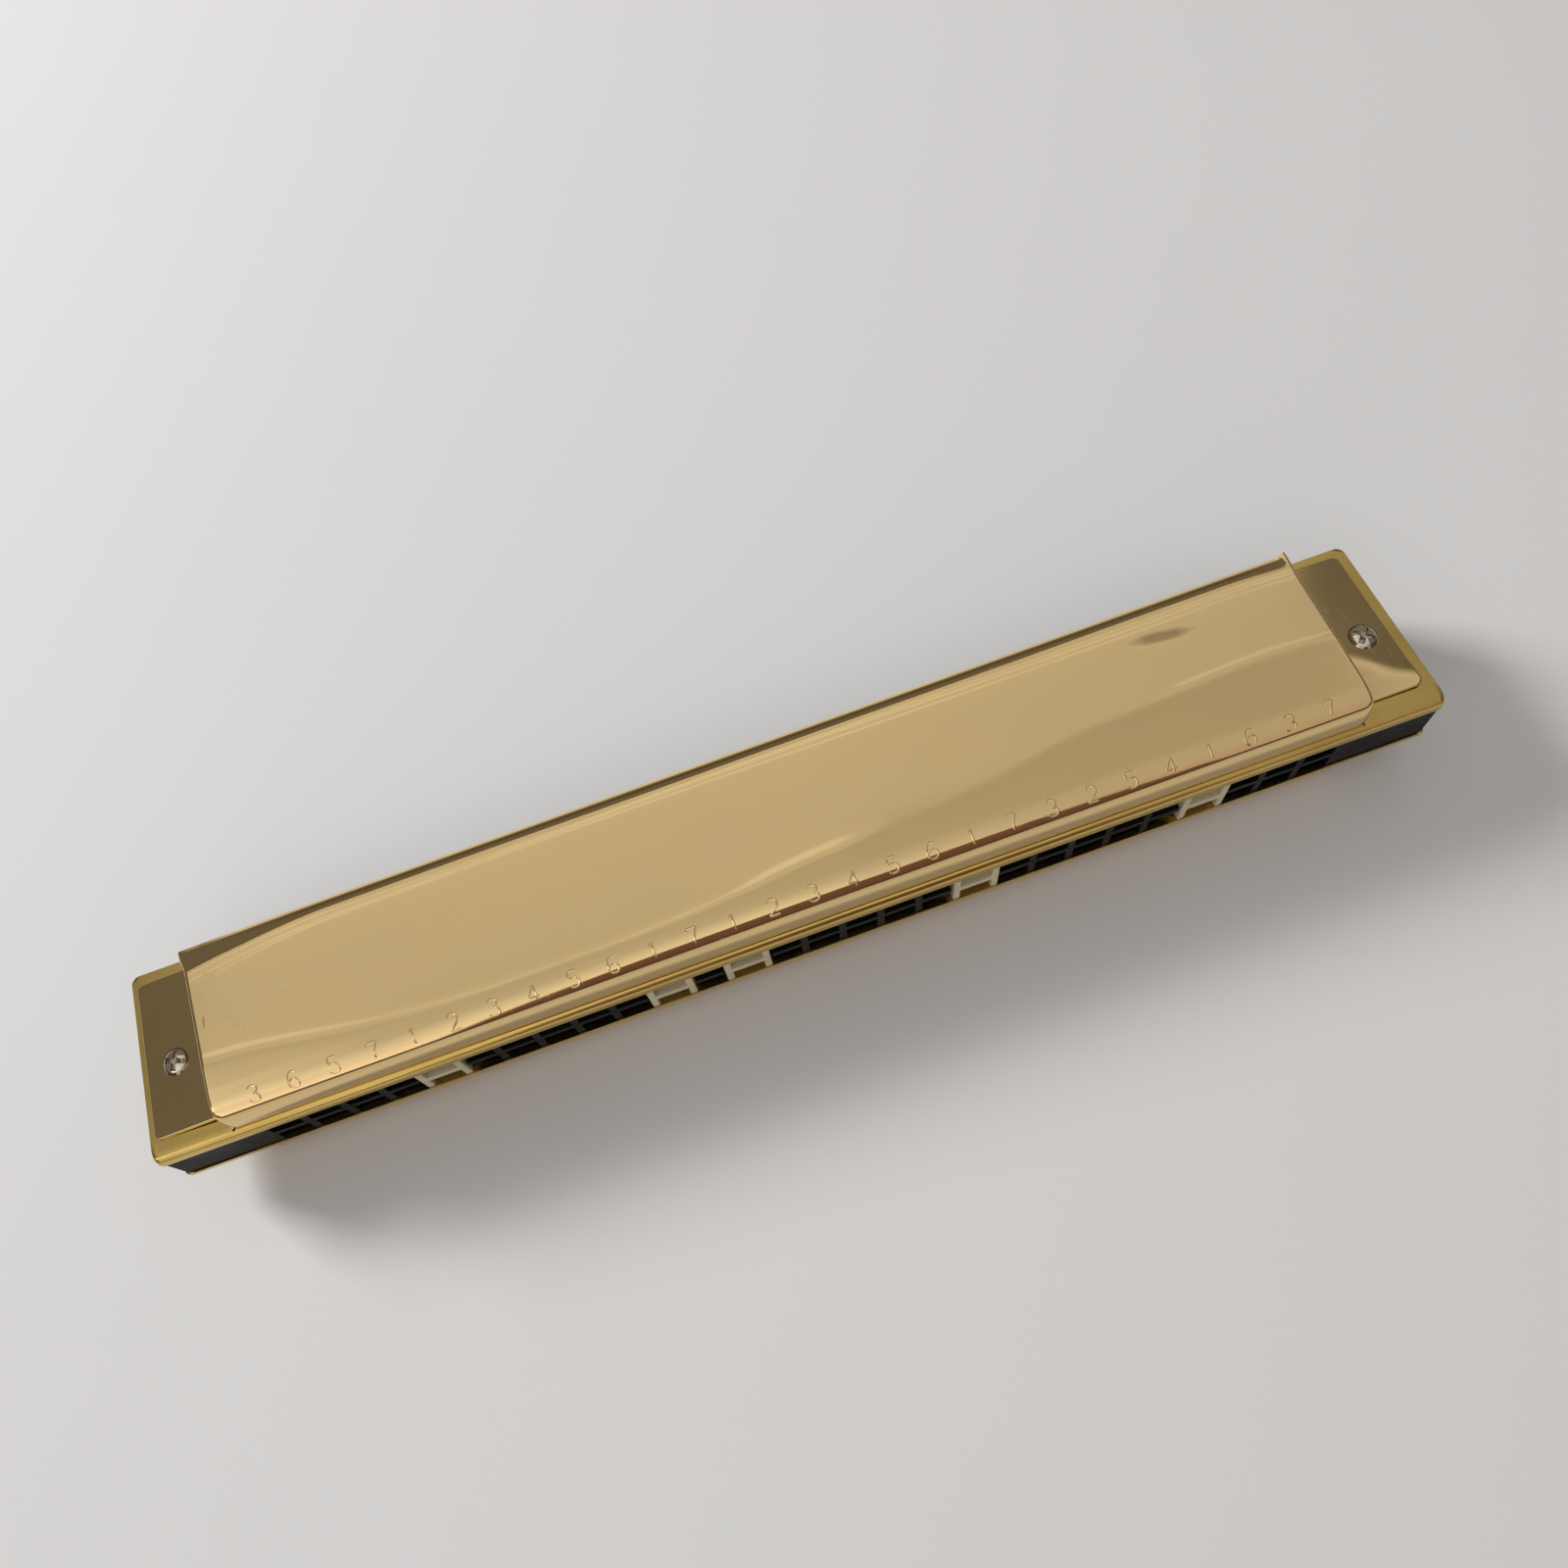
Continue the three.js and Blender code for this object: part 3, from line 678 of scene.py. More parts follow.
def dome_rows():
    """For each row from end to end: its x, the rounded edge's drop, and the share of the height that the end
    wall has climbed."""
    inset, drop = end_profile(EDGE, 9)
    climb = np.linspace(0, 1, 9)[:-1]
    foot = np.full(len(climb), DOME_HALF)
    close = DOME_HALF - EDGE - np.linspace(0, CLOSE_ROWS, 25)[1:]
    between = np.concatenate([-close, np.linspace(-close[-1], close[-1], 121)[1:-1], close[::-1]])
    over_edge = DOME_HALF - inset
    x = np.concatenate([-foot, -over_edge[::-1], between, over_edge, foot])
    down = np.full(len(climb), EDGE)
    drops = np.concatenate([down, drop[::-1], np.zeros(len(between)), drop, down])
    share = np.concatenate([climb, np.ones(len(x) - 2 * len(climb)), climb[::-1]])
    return x, drops, share


def dome_grid():
    """At each end the wall climbs from the plate, then turns over the rounded edge: height = section height
    minus the edge's drop. The two front corners are rounded in plan by p' = p sqrt(1 - q q / 2), where p and q
    run from 0 to 1 over the corner. Last, the ends are slanted and their rear corners flared."""
    x, drops, share = dome_rows()
    y, height = dome_section(x)
    shrink = np.clip(height / CROWN_RISE, 0, 1)
    height = np.maximum(height - drops[:, None] * shrink, 0) * share[:, None]
    x = np.broadcast_to(x[:, None], y.shape).copy()
    p = np.clip((np.abs(x) - (DOME_HALF - CORNER)) / CORNER, 0, 1)
    q = np.clip((NOSE_FRONT + CORNER - y) / CORNER, 0, 1)
    rounded_x = DOME_HALF - CORNER + CORNER * p * np.sqrt(1 - q * q / 2)
    rounded_y = NOSE_FRONT + CORNER - CORNER * q * np.sqrt(1 - p * p / 2)
    x = np.where(p > 0, np.sign(x) * rounded_x, x)
    y = np.where(q > 0, rounded_y, y)
    flare = (0.3 * soft_step((y - 9.5) / 5.0) + 0.6 * (x < 0) * soft_step((y - 10.5) / 3.8))
    flare = flare * soft_step((np.abs(x) - 91.0) / 3.2) * soft_step(height / 3.0)
    end = dome_half(-1, y) * (x < 0) + dome_half(1, y) * (x >= 0)
    slant = (end - DOME_HALF) * soft_step((np.abs(x) - 78) / 12)
    y = y + 0.3 * soft_step((x - 92.6) / 1.2) * soft_step((y - 13.3) / 1.0)
    x = x + np.sign(x) * (flare + slant)
    points = np.stack([x, y, height + plate_top], -1)
    return points, grid_faces(*points.shape[:2])


points, faces = dome_grid()
print("dome grid", points.shape, "x", points[..., 0].min().round(2), points[..., 0].max().round(2))


# %% Slope and shell of the tabs
LEFT_TILT, RIGHT_TILT, RIGHT_FRONT_TILT = 0.055, 0.050, -0.010
TAB_FILLET, TAB_CORNER, TAB_RIM = 0.5, 1.2, 0.28


def tab_tilt(side, y, out):
    """Slope of a tab, which the bolt has drawn down at its outer end. The front part of the right one lies
    nearly flat, with a soft slanting border."""
    if side < 0:
        return LEFT_TILT
    border = soft_step((y + 5.4 + 0.43 * (out - 3.3)) / 4.4 + 0.5)
    return RIGHT_TILT * border + RIGHT_FRONT_TILT * (1 - border)


def closed_sheet(top, bottom):
    """One closed shell from two grids of points of the same shape: the top's faces, the bottom's faces turned
    round, and a strip of faces between their outlines."""
    rows, columns = top.shape[:2]
    index = np.arange(rows * columns).reshape(rows, columns)
    border = np.concatenate([index[0, :-1], index[:-1, -1], index[-1, :0:-1], index[:0:-1, 0]])
    after = np.roll(border, -1)
    under = rows * columns
    strip = np.stack([border, after, after + under, border + under], -1)
    flat = grid_faces(rows, columns)
    points = np.concatenate([top.reshape(-1, 3), bottom.reshape(-1, 3)])
    return facing_out(points, np.concatenate([flat, flat[:, ::-1] + under, strip]).tolist())


print("left tab falls", LEFT_TILT, "per millimetre outwards, the right one", RIGHT_TILT)


# %% The tabs, and both covers
def tab_grid(side):
    """A flat tab with a hollow fillet against the dome's wall. Its front and rear edges curve in round the two
    outer corners. Height = the sheet's, plus the fillet's lift, plus the tilt times the distance from the tab's
    middle, less rim - sqrt(rim squared - (rim - distance to the outline) squared) along the rounded rim."""
    end, low_y, high_y = TABS[side]
    hollow, corner, rim, length = TAB_FILLET, TAB_CORNER, TAB_RIM, end - DOME_HALF
    turn = np.linspace(0, math.pi / 2, 8)
    out = np.concatenate([hollow - hollow * np.cos(turn), np.linspace(hollow, length - corner, 20)[1:],
                          length - corner + corner * np.sin(np.linspace(0, math.pi / 2, 14))[1:]])
    lift = np.concatenate([hollow - hollow * np.sin(turn), np.zeros(len(out) - len(turn))])[:, None]
    far = np.clip(out - (length - corner), 0, corner)
    pull = corner - np.sqrt(np.maximum(corner ** 2 - far ** 2, 0))
    width = high_y - low_y
    edge = rim * (1 - np.cos(np.linspace(0, math.pi / 2, 7)))
    share = np.concatenate([edge, np.linspace(rim, width - rim, 50)[1:-1], width - edge[::-1]]) / width
    front, rear = (low_y + pull)[:, None], (high_y - pull)[:, None]
    y = front + (rear - front) * share[None, :]
    start = dome_half(side, y)
    x = side * (start + out[:, None] * (end - start) / length)
    tilt = RIGHT_TILT * length / 2 + tab_tilt(side, y, out[:, None]) * (length / 2 - out[:, None])
    to_edge = np.minimum(np.minimum(y - front, rear - y), length - out[:, None])
    drop = rim - np.sqrt(rim ** 2 - (rim - np.clip(to_edge, 0, rim)) ** 2)
    top = np.stack([x, y, plate_top + SHEET + lift + tilt - drop], -1)
    bottom = np.stack([x, y, plate_top + SHEET * 0.02 + tilt + 0 * y], -1)
    return closed_sheet(top, bottom)


def cover(name, lower):
    """The dome as a sheet that is thickened inwards, and its two tabs as closed shells against its walls."""
    dome = new_piece(name, [dome_grid()], gold, [name.replace("_sheet", "")], lower)
    add_modifier(dome, "SOLIDIFY", thickness=SHEET * MM * 0.98, offset=-1)
    tabs = new_piece(name.replace("sheet", "tabs"), [tab_grid(-1), tab_grid(1)], gold, [], lower)
    return finish_mesh(dome, 40), finish_mesh(tabs, 40)


covers = [cover("upper_cover_sheet", False), cover("lower_cover_sheet", True)]
print("faces of a cover and of its tabs:", [len(piece.data.polygons) for piece in covers[0]])

# %% [markdown]
# ## Stamped numbers
# Every column has its note number punched into the shoulder, with a dot under the low notes and over the
# high ones. The strokes are drawn as smooth lines, then laid on the cover's own section as low rounded
# beads, so they follow the bend of the nose. A text object would need a font and wouldn't bend as well.

# %% Strokes of the numbers
NOTES = "3657123456171234561732541637"
STROKES = {
    "1": [[(-0.24, 0.76), (0.03, 1.0)], [(0.03, 1.0), (0.03, 0.0)]],
    "2": [[(-0.42, 0.74), (-0.27, 0.94), (0.02, 1.0), (0.33, 0.92), (0.42, 0.70), (0.28, 0.46), (-0.46, 0.0)],
          [(-0.46, 0.0), (0.48, 0.0)]],
    "3": [[(-0.40, 0.82), (-0.24, 0.96), (0.04, 1.0), (0.34, 0.91), (0.40, 0.73), (0.26, 0.57), (-0.04, 0.53)],
          [(-0.04, 0.53), (0.30, 0.48), (0.46, 0.27), (0.34, 0.07), (0.02, 0.0), (-0.30, 0.05), (-0.46, 0.22)]],
    "4": [[(0.18, 0.0), (0.18, 1.0)], [(0.18, 1.0), (-0.48, 0.30)], [(-0.48, 0.30), (0.46, 0.30)]],
    "5": [[(0.38, 1.0), (-0.33, 1.0)], [(-0.33, 1.0), (-0.39, 0.56)],
          [(-0.39, 0.56), (-0.05, 0.64), (0.30, 0.57), (0.45, 0.33), (0.32, 0.08), (0.0, 0.0), (-0.30, 0.04),
           (-0.45, 0.20)]],
    "6": [[(0.36, 0.86), (0.18, 0.97), (-0.06, 1.0), (-0.33, 0.85), (-0.45, 0.50), (-0.43, 0.24), (-0.28, 0.05),
           (0.0, 0.0), (0.32, 0.08), (0.44, 0.30), (0.32, 0.52), (0.02, 0.60), (-0.28, 0.51), (-0.43, 0.30)]],
    "7": [[(-0.44, 0.80), (-0.44, 1.0)], [(-0.44, 1.0), (0.45, 1.0)],
          [(0.45, 1.0), (0.20, 0.60), (0.06, 0.30), (0.0, 0.0)]],
}
DIGIT_WIDTH, DIGIT_HEIGHT = 1.85, 2.55
COLUMN_PITCH = 6.4
DIGIT_FOOT = -13.60
STROKE_BEAD, DOT_BEAD = (0.19, 0.055), (0.20, 0.075)  # half width and rise
BEAD_SUNK = 0.008
LOW_DOTS = (0, 1, 2, 3, 4, 5, 6, 7, 8, 9, 11)  # columns, counted from 0, with a dot under the number
HIGH_DOTS = {18: 1, 20: 1, 21: 1, 22: 1, 23: 1, 24: 2, 25: 1, 26: 2, 27: 1}  # dots over it


print("strokes:", sum(len(strokes) for strokes in STROKES.values()))


# %% Strokes as beads on the cover
def smooth_stroke(points, count=26):
    """A curve through the points, evenly spaced: on each stretch the cubic that leaves and arrives along the
    line between its neighbours."""
    p = np.array(points, float)
    p = np.vstack([2 * p[0] - p[1], p, 2 * p[-1] - p[-2]])
    t = np.linspace(0, len(p) - 3 - 1e-9, 160)
    i, f = t.astype(int), (t % 1)[:, None]
    a, b, c, d = p[i], p[i + 1], p[i + 2], p[i + 3]
    curve = 0.5 * (2 * b + (c - a) * f + (2 * a - 5 * b + 4 * c - d) * f ** 2
                   + (3 * b - a - 3 * c + d) * f ** 3)
    far = np.concatenate([[0], np.cumsum(np.linalg.norm(np.diff(curve, axis=0), axis=1))])
    even = np.linspace(0, far[-1], count)
    return np.stack([np.interp(even, far, curve[:, k]) for k in (0, 1)], -1)


def read_off(places, knots, *tables):
    """Each row's tables at that row's place, by straight interpolation between its knots, which rise."""
    at = np.clip((knots <= places[:, None]).sum(1) - 1, 0, knots.shape[1] - 2)[:, None]
    low, high = np.take_along_axis(knots, at, 1)[:, 0], np.take_along_axis(knots, at + 1, 1)[:, 0]
    share = np.clip((places - low) / (high - low), 0, 1)
    return [np.take_along_axis(table, at, 1)[:, 0] * (1 - share)
            + np.take_along_axis(table, at + 1, 1)[:, 0] * share for table in tables]


def on_cover(x, along):
    """Point and outward normal of the upper cover at x, at a length along the section from the nose's foot
    (negative on the wall). The slope is read off over a tenth of a millimetre."""
    y, height = dome_section(x)
    first = len(wall_share)
    y, height = y[:, first:], height[:, first:]
    far = np.concatenate([np.zeros((len(x), 1)), np.cumsum(np.hypot(np.diff(y), np.diff(height)), 1)], 1)
    here_y, here_z = read_off(along, far, y, height)
    (before_y, before_z), (after_y, after_z) = (read_off(along + d, far, y, height) for d in (-0.05, 0.05))
    slope = np.stack([after_y - before_y, after_z - before_z], -1)
    slope /= np.linalg.norm(slope, axis=1)[:, None]
    point = np.stack([x, here_y, here_z + plate_top], -1)
    normal = np.stack([np.zeros(len(x)), -slope[:, 1], slope[:, 0]], -1)
    return point, normal


def bead_grid(path, half_width, rise):
    """A low bead along a path in the number's own plane: across the path, height = rise (1 - t t) squared,
    and the width closes to a point at both ends as the square root of the distance to the end."""
    count = len(path)
    tangent = np.gradient(path, axis=0)
    tangent /= np.linalg.norm(tangent, axis=1)[:, None]
    aside = np.stack([-tangent[:, 1], tangent[:, 0]], -1)
    far = np.concatenate([[0], np.cumsum(np.linalg.norm(np.diff(path, axis=0), axis=1))])
    to_end = np.minimum(far, far[-1] - far)
    full = np.sqrt(np.clip(to_end / half_width, 0, 1))
    t = np.linspace(-1, 1, 9)
    flat = path[:, None, :] + aside[:, None, :] * (t[None, :] * half_width * full[:, None])[..., None]
    lift = rise * (1 - t[None, :] ** 2) ** 2 * full[:, None] - BEAD_SUNK
    return flat.reshape(-1, 2), lift.reshape(-1), grid_faces(count, len(t))


print("columns with a number:", len(NOTES))


# %% Lay the numbers on the shoulder
def nose_length_at(y_target):
    """Length along the section, from the nose's foot, at which the section reaches that y."""
    lengths = np.concatenate([[0], np.cumsum(np.hypot(np.diff(nose_run), np.diff(nose_rise)))])
    return float(np.interp(y_target - NOSE_FRONT, nose_run, lengths))


def number_parts():
    """All strokes of all numbers, and the dots under and over them, as beads on the cover."""
    foot = nose_length_at(DIGIT_FOOT)
    parts = []
    for index, note in enumerate(NOTES):
        centre = (index - (len(NOTES) - 1) / 2) * COLUMN_PITCH
        lines = [(smooth_stroke(s) * [DIGIT_WIDTH, DIGIT_HEIGHT], *STROKE_BEAD) for s in STROKES[note]]
        dots = [-0.60] if index in LOW_DOTS else []
        dots += [1.14 + 0.17 * extra for extra in range(HIGH_DOTS.get(index, 0))]
        lines += [(smooth_stroke([(0, low), (0, low + 0.10)], 12) * [1, DIGIT_HEIGHT], *DOT_BEAD)
                  for low in dots]
        for line, half_width, rise in lines:
            flat, lift, faces = bead_grid(line, half_width, rise)
            point, normal = on_cover(centre + flat[:, 0], foot + flat[:, 1])
            parts.append((point + normal * lift[:, None], faces))
    return parts


numbers = finish_mesh(new_piece("stamped_numbers", number_parts(), gold), 60)
print("number strokes have", len(numbers.data.polygons), "faces")

# %% [markdown]
# ## Reed plates
# Each plate is brass strip with a slot for every reed, and its front edge is rolled down over the comb. The
# plate is a grid whose lines pass along all the slot edges, so a slot is simply the cells left out. That is
# cleaner than cutting slots with booleans, and the rolled edge stays one smooth bend.

# %% Sizes of the plates and reeds
PLATE = 1.0
ROLL, SKIRT = 1.5, 2.2
REAR_CORNER, FRONT_CORNER = 1.4, 0.8  # plan corners
REAR_LAND = 2.2  # strip along the rear edge that the plan corners reach
REED_LONG, REED_SHORT = 17.5, 9.5
REED_WIDTH, REED_PAD, REED_LIFT, REED_THICK = 2.2, 2.4, 0.3, 0.25
REED_LINE = plate_front + 3.6
SLOT_HALF, TIP_ROOM = 1.3, 0.4
COLUMNS = 28


def column_x(column):
    """Middle of a column, counted from 1 at the low end."""
    return (column - (COLUMNS + 1) / 2) * COLUMN_PITCH


def reed_length(column):
    """Reeds shorten by the same step from the lowest note to the highest."""
    return REED_LONG + (REED_SHORT - REED_LONG) * (column - 1) / (COLUMNS - 1)


def slot_box(column):
    """Slot of one column in plan: low x, high x, front and rear."""
    start = REED_LINE + (REED_PAD if column % 2 == 0 else 0)
    return (column_x(column) - SLOT_HALF, column_x(column) + SLOT_HALF, start,
            start + reed_length(column) + TIP_ROOM)


slots = np.array([slot_box(c) for c in range(1, COLUMNS + 1)])
print(f"slots from {slots[0, 3] - slots[0, 2]:.1f} to {slots[-1, 3] - slots[-1, 2]:.1f} long")


# %% Plate surfaces
def plate_grid():
    """Lines in x at all slot sides, lines in y at all slot ends. In front the section runs over a quarter
    circle and down the skirt. The plan corners pull the front and rear rows in by corner minus
    sqrt(corner squared minus distance squared)."""
    end = plate_half_length
    rounding = np.concatenate([end - REAR_CORNER + REAR_CORNER * np.sin(np.linspace(0, math.pi / 2, 9)),
                               end - FRONT_CORNER + FRONT_CORNER * np.sin(np.linspace(0, math.pi / 2, 7))])
    x = np.unique(np.round(np.concatenate([rounding, -rounding, slots[:, 0], slots[:, 1], [0]]), 5))
    inner = np.unique(np.round(np.concatenate([slots[:, 2], slots[:, 3],
                                               np.linspace(plate_rear - REAR_LAND, plate_rear, 4)]), 5))
    turn = np.linspace(math.pi, math.pi / 2, 11)
    bend_y, bend_z = plate_front + ROLL, plate_top - ROLL
    y = np.concatenate([[plate_front], bend_y + ROLL * np.cos(turn), inner])
    z = np.concatenate([[plate_top - SKIRT], bend_z + ROLL * np.sin(turn), np.full(len(inner), plate_top)])
    gx, gy = np.meshgrid(x, y, indexing="ij")
    gz = np.broadcast_to(z, gx.shape)
    past_front = np.clip(np.abs(gx) - (end - FRONT_CORNER), 0, FRONT_CORNER)
    past_rear = np.clip(np.abs(gx) - (end - REAR_CORNER), 0, REAR_CORNER)
    in_front = FRONT_CORNER - np.sqrt(np.maximum(FRONT_CORNER ** 2 - past_front ** 2, 0))
    in_rear = REAR_CORNER - np.sqrt(np.maximum(REAR_CORNER ** 2 - past_rear ** 2, 0))
    front_share = np.clip((bend_y - gy) / ROLL + 1, 0, 1) * (gy <= bend_y + 1e-6)
    rear_share = np.clip((gy - (plate_rear - REAR_LAND)) / REAR_LAND, 0, 1)
    points = np.stack([gx, gy + in_front * front_share - in_rear * rear_share, gz], -1)
    middle_x, middle_y = (x[:-1] + x[1:])[:, None] / 2, (y[:-1] + y[1:])[None, :] / 2
    inside = np.zeros((len(x) - 1, len(y) - 1), bool)
    for low_x, high_x, low_y, high_y in slots:
        inside |= ((middle_x > low_x) & (middle_x < high_x) & (middle_y > low_y) & (middle_y < high_y)
                   & (middle_y > bend_y))
    return points, grid_faces(len(x), len(y))[~inside.reshape(-1)]


def reed_plate(name, lower):
    """The plate's outer surface, thickened inwards, with its edges broken by a small bevel."""
    piece = new_piece(name, [plate_grid()], brass, [name.replace("_strip", "")], lower)
    add_modifier(piece, "SOLIDIFY", thickness=PLATE * MM * 0.995, offset=-1)
    add_modifier(piece, "BEVEL", width=0.09 * MM, segments=2, limit_method="ANGLE",
                 angle_limit=math.radians(50))
    return finish_mesh(piece, 50, weigh=True)


plates = [reed_plate("upper_reed_plate_strip", False), reed_plate("lower_reed_plate_strip", True)]
print("plate faces:", len(plates[0].data.polygons))

# %% [markdown]
# ## Reeds
# A reed is a strip of springy bronze on a riveted root, filed thinner towards its tip. The draw reeds sit
# outside each plate with their roots at the mouth, the blow reeds inside with their roots at the back. All
# fifty-six are one formula with other numbers.


# %% One reed as a tapering bar and a domed rivet
REED_CUT = 0.05  # bevel along the bar's edges
BLADE_THICK, BLADE_THINNER, TIP_RISE = 0.17, 0.04, 0.14
RIVET_RADIUS, RIVET_RISE, RIVET_SUNK = 0.8, 0.31, 0.03
RIVET_SIDES, RIVET_RINGS = 16, 5


def reed_bar(column, root, tip, base, up):
    """A bar of rounded section carried from root to tip: full thickness over the root, then a thin blade that
    narrows a little and lifts at its tip."""
    along = np.sign(tip - root)
    length = abs(tip - root)
    s = np.concatenate([[0, 0.12, 2.0, 2.28], np.linspace(REED_PAD, length - 0.1, 14), [length]])
    on_root = s < REED_PAD - 0.05
    blade = np.clip((s - REED_PAD) / (length - REED_PAD), 0, 1)
    half = np.where(on_root, REED_WIDTH / 2, REED_WIDTH / 2 * (0.97 - 0.09 * blade))
    under = np.where(on_root, 0.0, REED_LIFT + 0.05 + TIP_RISE * blade ** 3)
    over = np.where(on_root, REED_LIFT + REED_THICK, under + BLADE_THICK - BLADE_THINNER * blade)
    under[0] += 0.05
    over[0] -= 0.08
    cut = REED_CUT
    across = np.stack([-half, -half, -half + cut, half - cut, half, half, half - cut, -half + cut], -1)
    high = np.stack([under + cut, over - cut, over, over, over - cut, under + cut, under, under], -1)
    x = column_x(column) + across
    y = np.broadcast_to((root + along * s)[:, None], x.shape)
    points = np.stack([x, y, base + up * high], -1)
    rows, ring = points.shape[:2]
    faces = grid_faces(rows, ring, close_columns=True).tolist()
    faces += [list(range(ring))[::-1], list(range((rows - 1) * ring, rows * ring))]
    return facing_out(points, faces)


def reed_rivet(x, y, base, up):
    """A closed dome on the reed's root: height = rise times the cosine of the polar angle."""
    seat = REED_LIFT + REED_THICK - RIVET_SUNK
    polar, around = np.meshgrid(np.linspace(math.pi / 2, 0, RIVET_RINGS + 1)[:-1],
                                np.linspace(0, 2 * math.pi, RIVET_SIDES + 1)[:-1], indexing="ij")
    radius = RIVET_RADIUS * np.sin(polar) ** 0.7
    dome = np.stack([x + radius * np.cos(around), y + radius * np.sin(around),
                     base + up * (seat + RIVET_RISE * np.cos(polar))], -1)
    points = np.vstack([dome.reshape(-1, 3), [x, y, base + up * (seat + RIVET_RISE)]])
    last, top = (RIVET_RINGS - 1) * RIVET_SIDES, RIVET_RINGS * RIVET_SIDES
    faces = grid_faces(RIVET_RINGS, RIVET_SIDES, close_columns=True).tolist()
    faces += [[last + (k + 1) % RIVET_SIDES, last + k, top] for k in range(RIVET_SIDES)]
    faces += [list(range(RIVET_SIDES))]
    return facing_out(points, faces)


def reed_parts(column, root, tip, base, up):
    """The bar and its rivet, in the middle of the root."""
    rivet_y = root + np.sign(tip - root) * REED_PAD / 2
    return [reed_bar(column, root, tip, base, up), reed_rivet(column_x(column), rivet_y, base, up)]


print(f"reeds from {reed_length(COLUMNS):.1f} to {reed_length(1):.1f} long")


# %% All the reeds
def draw_reed(half, column):
    """A draw reed lies on the outside of its plate, root in front."""
    name = f"{half}_draw_reed_{column:02d}"
    parts = reed_parts(column, REED_LINE, REED_LINE + REED_PAD + reed_length(column), plate_top, 1)
    piece = new_piece(name + "_blade", parts, bronze, [name], half == "lower")
    return finish_mesh(piece, 30)


def blow_reeds(half):
    """The fourteen blow reeds of a plate, under it, roots at the back."""
    parts = []
    for column in range(1, COLUMNS + 1, 2):
        root = REED_LINE + TIP_ROOM + reed_length(column) + REED_PAD
        parts += reed_parts(column, root, REED_LINE + TIP_ROOM, plate_top - PLATE, -1)
    piece = new_piece(f"{half}_blow_reeds", parts, bronze, [], half == "lower")
    return finish_mesh(piece, 30)


reeds = [draw_reed(half, c) for half in ("upper", "lower") for c in range(2, COLUMNS + 1, 2)]
reeds += [blow_reeds(half) for half in ("upper", "lower")]
print("reed pieces:", len(reeds))

# %% [markdown]
# ## Comb and frames
# The comb is a black moulding with a cell for every reed, and five of its columns carry a cream frame that
# helps the player find the home note. Their solids have the right shape, but a moulding has no
# knife edges. So each is copied, its loose triangles are merged into whole faces, and the edges are rounded.


# %% Rounded copies of the moulded solids
def rounded_copy(node_name, material, width):
    """Merges the copy's loose triangles, joins faces in one plane, and rounds every edge by the width."""
    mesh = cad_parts[node_name].data.copy()
    shape = bmesh.new()
    shape.from_mesh(mesh)
    bmesh.ops.remove_doubles(shape, verts=shape.verts, dist=0.002 * MM)
    bmesh.ops.dissolve_limit(shape, angle_limit=math.radians(1), verts=shape.verts, edges=shape.edges)
    shape.to_mesh(mesh)
    shape.free()
    mesh.materials.clear()
    mesh.materials.append(material)
    piece = bpy.data.objects.new(node_name + "_moulding", mesh)
    bpy.context.scene.collection.objects.link(piece)
    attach(piece, "root")
    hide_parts(node_name)
    add_modifier(piece, "BEVEL", width=width * MM, segments=3, limit_method="ANGLE",
                 angle_limit=math.radians(35), use_clamp_overlap=True)
    return finish_mesh(piece, 60, weigh=True)


comb = rounded_copy("comb", black, 0.16)
frames = [rounded_copy(f"do_hole_frame_{c:02d}", cream, 0.26) for c in (5, 11, 13, 19, 25)]
print("comb faces:", len(comb.data.polygons), "frame faces:", len(frames[0].data.polygons))

# %% [markdown]
# ## Fasteners
# The heads of a bolt and a screw are turned shapes with a recess pressed into the top. A turned shape is a
# profile swept round an axis, and here the recess is one more term of the same height formula, so no boolean
# is needed and the recess keeps a soft pressed edge.


# %% Recesses and turned shapes
SINK = 0.03  # what a head's underside lies below its foot


def cross_depth(x, y):
    """Depth share of a cross recess: inside either arm it grows from 0.6 at the tip to 1 in the middle, and it
    falls to 0 across a thin edge."""
    def arm(a, b):
        return soft_step((0.46 - np.abs(a)) / 0.08) * soft_step((1.66 - np.abs(b)) / 0.16)
    return np.maximum(arm(x, y), arm(y, x)) * (1 - 0.4 * np.clip(np.hypot(x, y) / 1.6, 0, 1))


def slot_depth(x, y):
    """Depth share of a straight slot right across the head."""
    return soft_step((0.28 - np.abs(x * 0.94 + y * 0.34)) / 0.08)


def turned_part(x, y, profile, recess, depth, turn=0.0, sides=144):
    """Rings of points from the axis on top, down the profile, to the axis below. On the head the height
    loses depth times the recess, which is a function of the place on the head."""
    radius, height = np.array(profile).T
    around = np.linspace(0, 2 * math.pi, sides, endpoint=False)
    px = radius[:, None] * np.cos(around)
    py = radius[:, None] * np.sin(around)
    pz = np.repeat(height[:, None], sides, 1)
    on_head = (np.arange(len(radius)) < recess_rows(profile))[:, None]
    tx, ty = px * math.cos(turn) + py * math.sin(turn), py * math.cos(turn) - px * math.sin(turn)
    pz = pz - np.where(on_head, depth * recess(tx, ty), 0)
    points = np.stack([x + px, y + py, pz], -1)
    rows = len(radius)
    faces = grid_faces(rows, sides, close_columns=True).tolist()
    centre_top = [x, y, float(pz[0].mean())]
    centre_low = [x, y, float(height[-1])]
    flat = np.vstack([points.reshape(-1, 3), centre_top, centre_low])
    top, low, last = rows * sides, rows * sides + 1, (rows - 1) * sides
    faces += [[k, (k + 1) % sides, top] for k in range(sides)]
    faces += [[last + (k + 1) % sides, last + k, low] for k in range(sides)]
    return facing_out(flat, faces)


